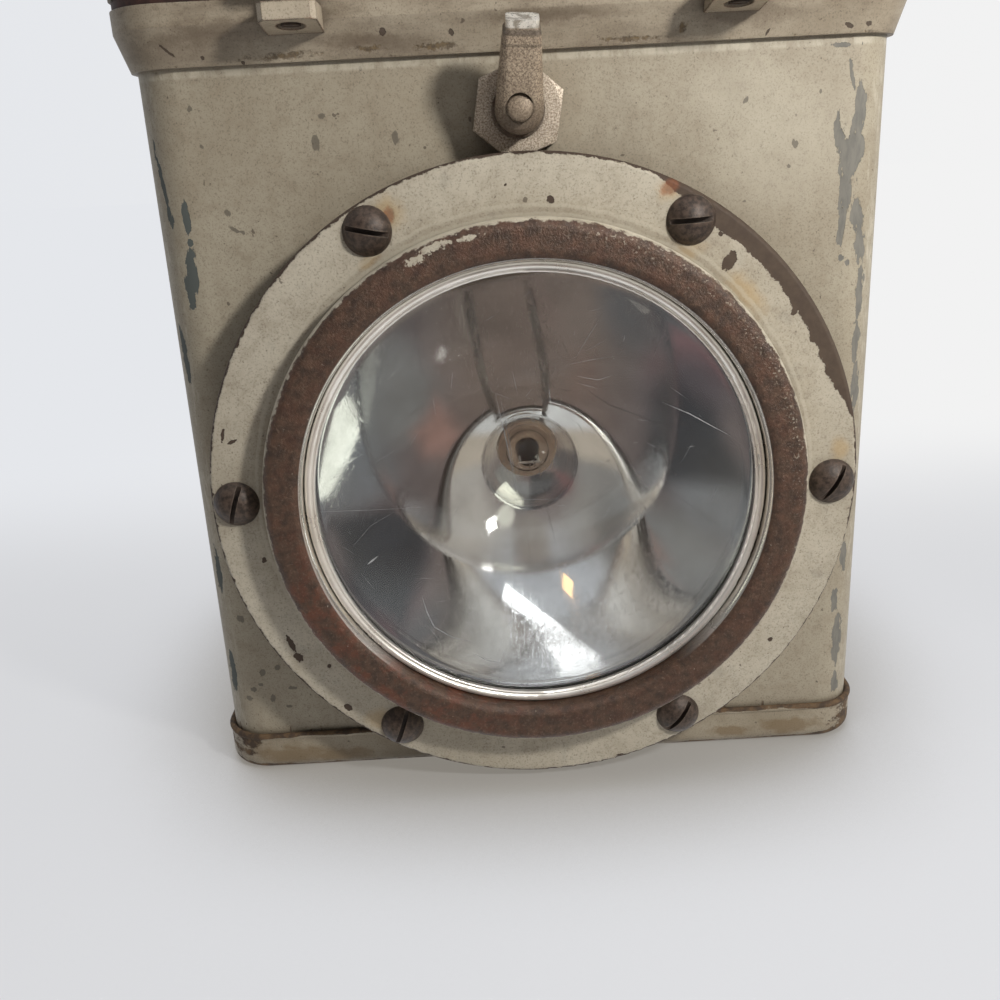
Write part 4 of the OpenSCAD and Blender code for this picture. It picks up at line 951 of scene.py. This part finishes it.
# Materials by finish, and the CAD nodes that get each finish
materials = {
    "case": case_paint(),
    "pan": pan_paint(),
    "collar": collar_paint(),
    "ring": ring_paint(),
    "drum": worn_paint("drum_paint", RING_DARK, rgb(146, 135, 117), 0.45),
    "painted": worn_paint("worn_paint", PAINT_LIGHT, PAINT_DARK, 0.55),
    "lug": worn_paint("lug_paint", rgb(188, 176, 156), rgb(164, 150, 130), 0.80, 1.1, rgb(112, 82, 64)),
    "screw": rusted_metal("screw_rust", rgb(44, 35, 30), rgb(86, 71, 61), 0.50, 0.2, 1.2, 0.22),
    "steel": rusted_metal("bare_steel", rgb(96, 84, 72), rgb(146, 136, 124), 0.40, 0.8),
    "nut": nut_plating(),
    "lever": lever_casting(),
    "brass": plain("brass", rgb(126, 98, 54), rgb(178, 148, 88), 0.34, 0.9, 3.0),
    "rubber": plain("rubber", rgb(30, 25, 23), rgb(52, 42, 38), 0.72),
    "felt": plain("grey_felt", rgb(118, 114, 107), rgb(142, 138, 130), 0.85, crevice_dirt_and_shade=0.2),
    "seam": plain("cover_seal", rgb(48, 30, 28), rgb(78, 50, 44), 0.70),
    "lens": glass("lens_glass", (0.97, 0.98, 0.98, 1), 1.48, hazy=True),
    "scratch": plain("scratched_glass", rgb(150, 151, 153), rgb(186, 187, 188), 0.6, size=1.0),
    "bulb": glass("bulb_glass", (0.99, 0.99, 0.98, 1), 1.38),
    "silver": mirror(),
    "rim": plain("bright_rim", rgb(228, 225, 219), rgb(244, 242, 238), 0.30, 0.75, 14.0, 0.01, 0.0),
    # Painted light: the bulb base and socket are coloured far lighter than brass, standing in for light
    # that hardly reaches them
    "base": plain("bulb_base", rgb(216, 192, 166), rgb(236, 212, 186), 0.34, 0.3, 6.0, 0.01, 0.0),
    "filament": plain("filament_wire", rgb(206, 197, 186), rgb(226, 218, 208), 0.5, crevice_dirt_and_shade=0.0),
    "stem": glass("stem_glass", (0.99, 0.99, 0.98, 1), 1.05),
    "fibre": plain("fibre_board", rgb(92, 62, 42), rgb(128, 92, 62), 0.7),
    "black": plain("moulded_black", rgb(22, 20, 20), rgb(38, 35, 34), 0.45),
    "jacket": cell_jacket(),
    "dark_wire": plain("wire_dark", rgb(40, 30, 27), rgb(66, 52, 46), 0.6, size=0.6),
    "red_wire": plain("wire_red", rgb(92, 36, 28), rgb(128, 56, 44), 0.6, size=0.6),
    "wood": wood(),
}
FINISHES = {
    "case": ["case_shell"],
    "pan": ["bottom_pan"],
    "collar": ["top_collar"],
    "ring": ["lens_ring"],
    "drum": ["lens_drum"],
    "painted": [
        "hinge_case_leaves", "cell_strap", "cover", "cover_ears", "hinge_cover_leaves", "bail_brackets",
    ],
    "lug": ["collar_lugs"],
    "screw": ["ring_screws", "bracket_rivets", "hold_screw_left", "hold_screw_right"],
    "steel": ["hinge_pins", "switch_bushing", "switch_washer", "bail", "switch_shaft"],
    "nut": ["switch_nut"],
    "lever": ["switch_lever", "lever_rivet"],
    "brass": ["socket_contact", "switch_terminals", "cell_posts", "cell_nuts"],
    "base": ["bulb_base", "lamp_socket"],
    "rubber": ["ring_gasket", "cell_pad"],
    "felt": ["lens_gasket", "reflector_gasket"],
    "seam": ["cover_gasket"],
    "lens": ["lens"],
    "rim": ["lens_bezel"],
    "bulb": ["bulb_globe"],
    "stem": ["bulb_stem"],
    "filament": ["bulb_filament"],
    "silver": ["reflector"],
    "fibre": ["socket_insulator"],
    "black": ["switch_body", "cell_seals"],
    "jacket": ["dry_cell_left", "dry_cell_right"],
    "dark_wire": ["wire_cell_to_switch", "wire_lamp_to_cell", "wire_cell_link"],
    "red_wire": ["wire_switch_to_lamp"],
    "wood": ["bail_grip"],
}


def dress(obj, finish):
    obj.data.materials.clear()
    obj.data.materials.append(materials[finish])


for finish, nodes in FINISHES.items():
    for node in nodes:
        dress(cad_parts[node], finish)
        smooth(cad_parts[node], CAD_SMOOTH)

# Finer pieces: finish, the CAD node that a piece replaces, and its slot
FINER = [
    (make_reflector(), "silver", "reflector", "silvering"),
    (make_lens(), "lens", "lens", "lens_glass"),
    (make_globe(), "bulb", "bulb_globe", "bulb_glass"),
    (make_scratches(), "scratch", None, "lens_glass"),
]
for piece, finish, node, slot in FINER:
    dress(piece, finish)
    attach(piece, "case")
    if node:
        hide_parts(node)


def direction(azimuth, elevation):
    """Unit vector seen from the lens: azimuth to the right of straight out, elevation above level."""
    a, e = math.radians(azimuth), math.radians(elevation)
    return (math.sin(a) * math.cos(e), -math.cos(a) * math.cos(e), math.sin(e))


# Backdrop behind the object from left to right, and the floor's colours, glow and half width
BACKDROP_LEFT = rgb(229, 231, 235)
BACKDROP_RIGHT = rgb(242, 242, 242)
BACKDROP_SPAN = (-0.5, 0.5)
FLOOR_NEAR = rgb(222, 223, 226)
FLOOR_PALE = rgb(226, 227, 230)
FLOOR_SHADE = rgb(146, 141, 133)
FLOOR_GLOW = 0.80
FLOOR_HALF = 8

# Shadow on the floor, with its reach in millimetres, and where floor fades into backdrop, in metres
SHADE_REACH = 68
SHADE_SPAN = (0.04, 0.60)
FADE_AROUND = (0.30, 1.10)
FADE_BEHIND = (0.0, 0.28)
FADE_ACROSS = (-0.3, 0.3)

# Dim light that fills the shadows: in front of the object, behind it and from above
FILL_FRONT = rgb(72, 71, 70)
FILL_BACK = rgb(190, 191, 194)
FILL_TOP = rgb(150, 151, 153)

# Soft zones of the room that the mirror shows: azimuth, elevation, outer and inner half angle, colour
ROOM_ZONES = [
    (0, 8, 46, 24, rgb(128, 116, 113)),
    (-4, -18, 30, 12, rgb(140, 122, 111)),
    (-25, 14, 13, 4, rgb(138, 107, 107)),
    (20, 8, 14, 6, rgb(147, 145, 141)),
    (10, 25, 14, 6, rgb(138, 138, 138)),
    (-17, 17, 12, 3, rgb(104, 96, 98)),
    (-29, -3, 13, 4, rgb(106, 103, 103)),
    (-74, 26, 26, 10, rgb(100, 101, 100)),
    (4, 50, 16, 6, rgb(150, 142, 134)),
    (26, 35, 8, 4, rgb(252, 248, 232)),
]
ROOM_LEFT = rgb(146, 143, 139)
ROOM_RIGHT = rgb(198, 191, 182)
ROOM_TOP = rgb(188, 189, 192)
ROOM_FLOOR = rgb(204, 191, 174)
ROOM_TABLE = rgb(236, 234, 230)

# Where room and fill light change, by the parts of a unit direction
ROOM_SPAN = (-0.9, 0.9)
TOP_SPAN = (0.60, 0.88)
LOW_SPAN = (0.0, -0.20)
TABLE_SPAN = (-0.42, -0.58)
BEHIND_SPAN = (-0.15, 0.25)
FILL_SPAN = (0.40, 0.95)

# Cards that only mirror and glass show: corners in millimetres, colour, strength, share of faded edge
CARD_Y = -600
CARDS = {
    "light_card": ([(225, 206), (312, 255), (150, 420), (68, 380)], rgb(255, 253, 234), 1.8, 0.03),
    "dark_card": ([(25, 150), (45, 430), (-185, 320), (-250, 130)], rgb(70, 73, 76), 1.0, 0.22),
    "pink_card": ([(62, 46), (156, 40), (142, 166), (74, 171)], rgb(181, 141, 128), 1.0, 0.40),
}
PLATE_UV = [(0, 0), (1, 0), (1, 1), (0, 1)]

# Lamps that point at the middle: place, width, height, power, colour, turn about the beam in degrees
MIDDLE = (0, -0.06, 0.11)
WARM_AWAY = 0.7
WARM_PLACE = Vector(MIDDLE) + WARM_AWAY * Vector(direction(-37, 63))
LAMPS = {
    "key": ((0.216, -0.326, 0.317), 0.04, 0.04, 1.3, (1.0, 0.97, 0.92), 0),
    "ceiling": ((-0.15, -0.25, 1.15), 1.2, 0.10, 1.2, (1.0, 0.99, 0.97), 19),
    "warm": (WARM_PLACE, 0.06, 0.06, 0.03, (1.0, 0.52, 0.16), 0),
}


def area_lamp(name, place, width, height, power, colour, turn):
    data = bpy.data.lights.new(name, "AREA")
    data.shape = "RECTANGLE"
    data.size = width
    data.size_y = height
    data.energy = power
    data.color = colour
    lamp = add_object(name, data)
    lamp.location = place
    lamp.rotation_euler = (Vector(MIDDLE) - lamp.location).to_track_quat("-Z", "Y").to_euler()
    lamp.rotation_euler.rotate_axis("Z", math.radians(turn))
    lamp.visible_camera = False


def make_world():
    """Pale backdrop for the camera, a room for mirror and glass, and dim light in the shadows."""
    world = bpy.data.worlds.new("studio")
    scene.world = world
    world.use_nodes = True
    t = Tree(world.node_tree)
    background = world.node_tree.nodes["Background"]
    place = t.node("TexCoord").outputs["Generated"]
    x, y, z = t.split(place)
    room = t.mix(t.ramp(x, *ROOM_SPAN), ROOM_LEFT, ROOM_RIGHT)
    room = t.mix(t.ramp(z, *TOP_SPAN), room, ROOM_TOP)
    room = t.mix(t.ramp(z, *LOW_SPAN), room, ROOM_FLOOR)
    for azimuth, elevation, outer, inner, colour in ROOM_ZONES:
        near = t.vector("DOT_PRODUCT", place, direction(azimuth, elevation))
        share = t.ramp(near, math.cos(math.radians(outer)), math.cos(math.radians(inner)))
        room = t.mix(share, room, colour)
    room = t.mix(t.ramp(z, *TABLE_SPAN), room, ROOM_TABLE)
    behind = t.ramp(y, *BEHIND_SPAN)
    backdrop = t.mix(t.ramp(x, *BACKDROP_SPAN), BACKDROP_LEFT, BACKDROP_RIGHT)
    light = t.node("LightPath")
    shiny = t.most(light.outputs["Is Glossy Ray"], light.outputs["Is Transmission Ray"])
    fill = t.mix(t.ramp(z, *FILL_SPAN), t.mix(behind, FILL_FRONT, FILL_BACK), FILL_TOP)
    sky = t.mix(shiny, fill, t.mix(behind, room, backdrop))
    sky = t.mix(light.outputs["Is Camera Ray"], sky, backdrop)
    t.put(sky, background.inputs["Color"])
    background.inputs["Strength"].default_value = 1.0


def floor_material():
    """Pale floor that keeps the object's shadow and fades into the backdrop."""
    s = Shader("floor", rough=0.7)
    soft = s.noise(180, 3, 0.5)
    pale = s.mix(soft, FLOOR_NEAR, FLOOR_PALE)
    s.set(Base_Color=pale)
    shade = s.ramp(s.crevice(SHADE_REACH, 12), *SHADE_SPAN)
    away = s.ramp(s.vector("LENGTH", s.vector("MULTIPLY", s.place, (1, 1, 0))), *FADE_AROUND)
    away = s.most(away, s.ramp(s.y, *FADE_BEHIND))
    far = s.mix(s.ramp(s.x, *FADE_ACROSS), BACKDROP_LEFT, BACKDROP_RIGHT)
    glow = s.node("Emission")
    s.put(s.mix(shade, s.mix(away, pale, far), FLOOR_SHADE), glow.inputs["Color"])
    share = s.ramp(away, 0, 1, FLOOR_GLOW, 1.0)
    seen = s.times(share, s.node("LightPath").outputs["Is Camera Ray"])
    s.surface(seen, s.bsdf, glow)
    return s.material


def glow_material(name, colour, strength, fade):
    """Plain glow that fades out towards the edges of a card."""
    material = bpy.data.materials.new(name)
    material.use_nodes = True
    t = Tree(material.node_tree)
    glow = t.node("Emission")
    glow.inputs["Color"].default_value = colour
    glow.inputs["Strength"].default_value = strength
    u, v, _ = t.split(t.node("TexCoord").outputs["UV"])
    across = t.math("MINIMUM", u, t.less(1.0, u))
    along = t.math("MINIMUM", v, t.less(1.0, v))
    inside = t.ramp(t.math("MINIMUM", across, along), 0.0, fade)
    t.surface(inside, t.node("BsdfTransparent"), glow)
    return material


def make_plate(name, corners, material):
    plate = add_mesh(name, corners, [(0, 1, 2, 3)])
    plate.data.materials.append(material)
    for corner, place in zip(plate.data.uv_layers.new(name="plate").data, PLATE_UV):
        corner.uv = place
    return plate


def make_stage():
    """Wide flat floor that mirror and glass don't show, and the cards that only they show."""
    corners = [(FLOOR_HALF * (2 * u - 1), FLOOR_HALF * (2 * v - 1), 0) for u, v in PLATE_UV]
    floor = make_plate("floor", corners, floor_material())
    floor.visible_glossy = False
    floor.visible_transmission = False
    for name, (corners, colour, strength, fade) in CARDS.items():
        places = [(x * MM, CARD_Y * MM, z * MM) for x, z in corners]
        card = make_plate(name, places, glow_material(name, colour, strength, fade))
        card.visible_camera = False
        card.visible_diffuse = False
        card.visible_shadow = False


make_world()
make_stage()
for name, settings in LAMPS.items():
    area_lamp(name, *settings)
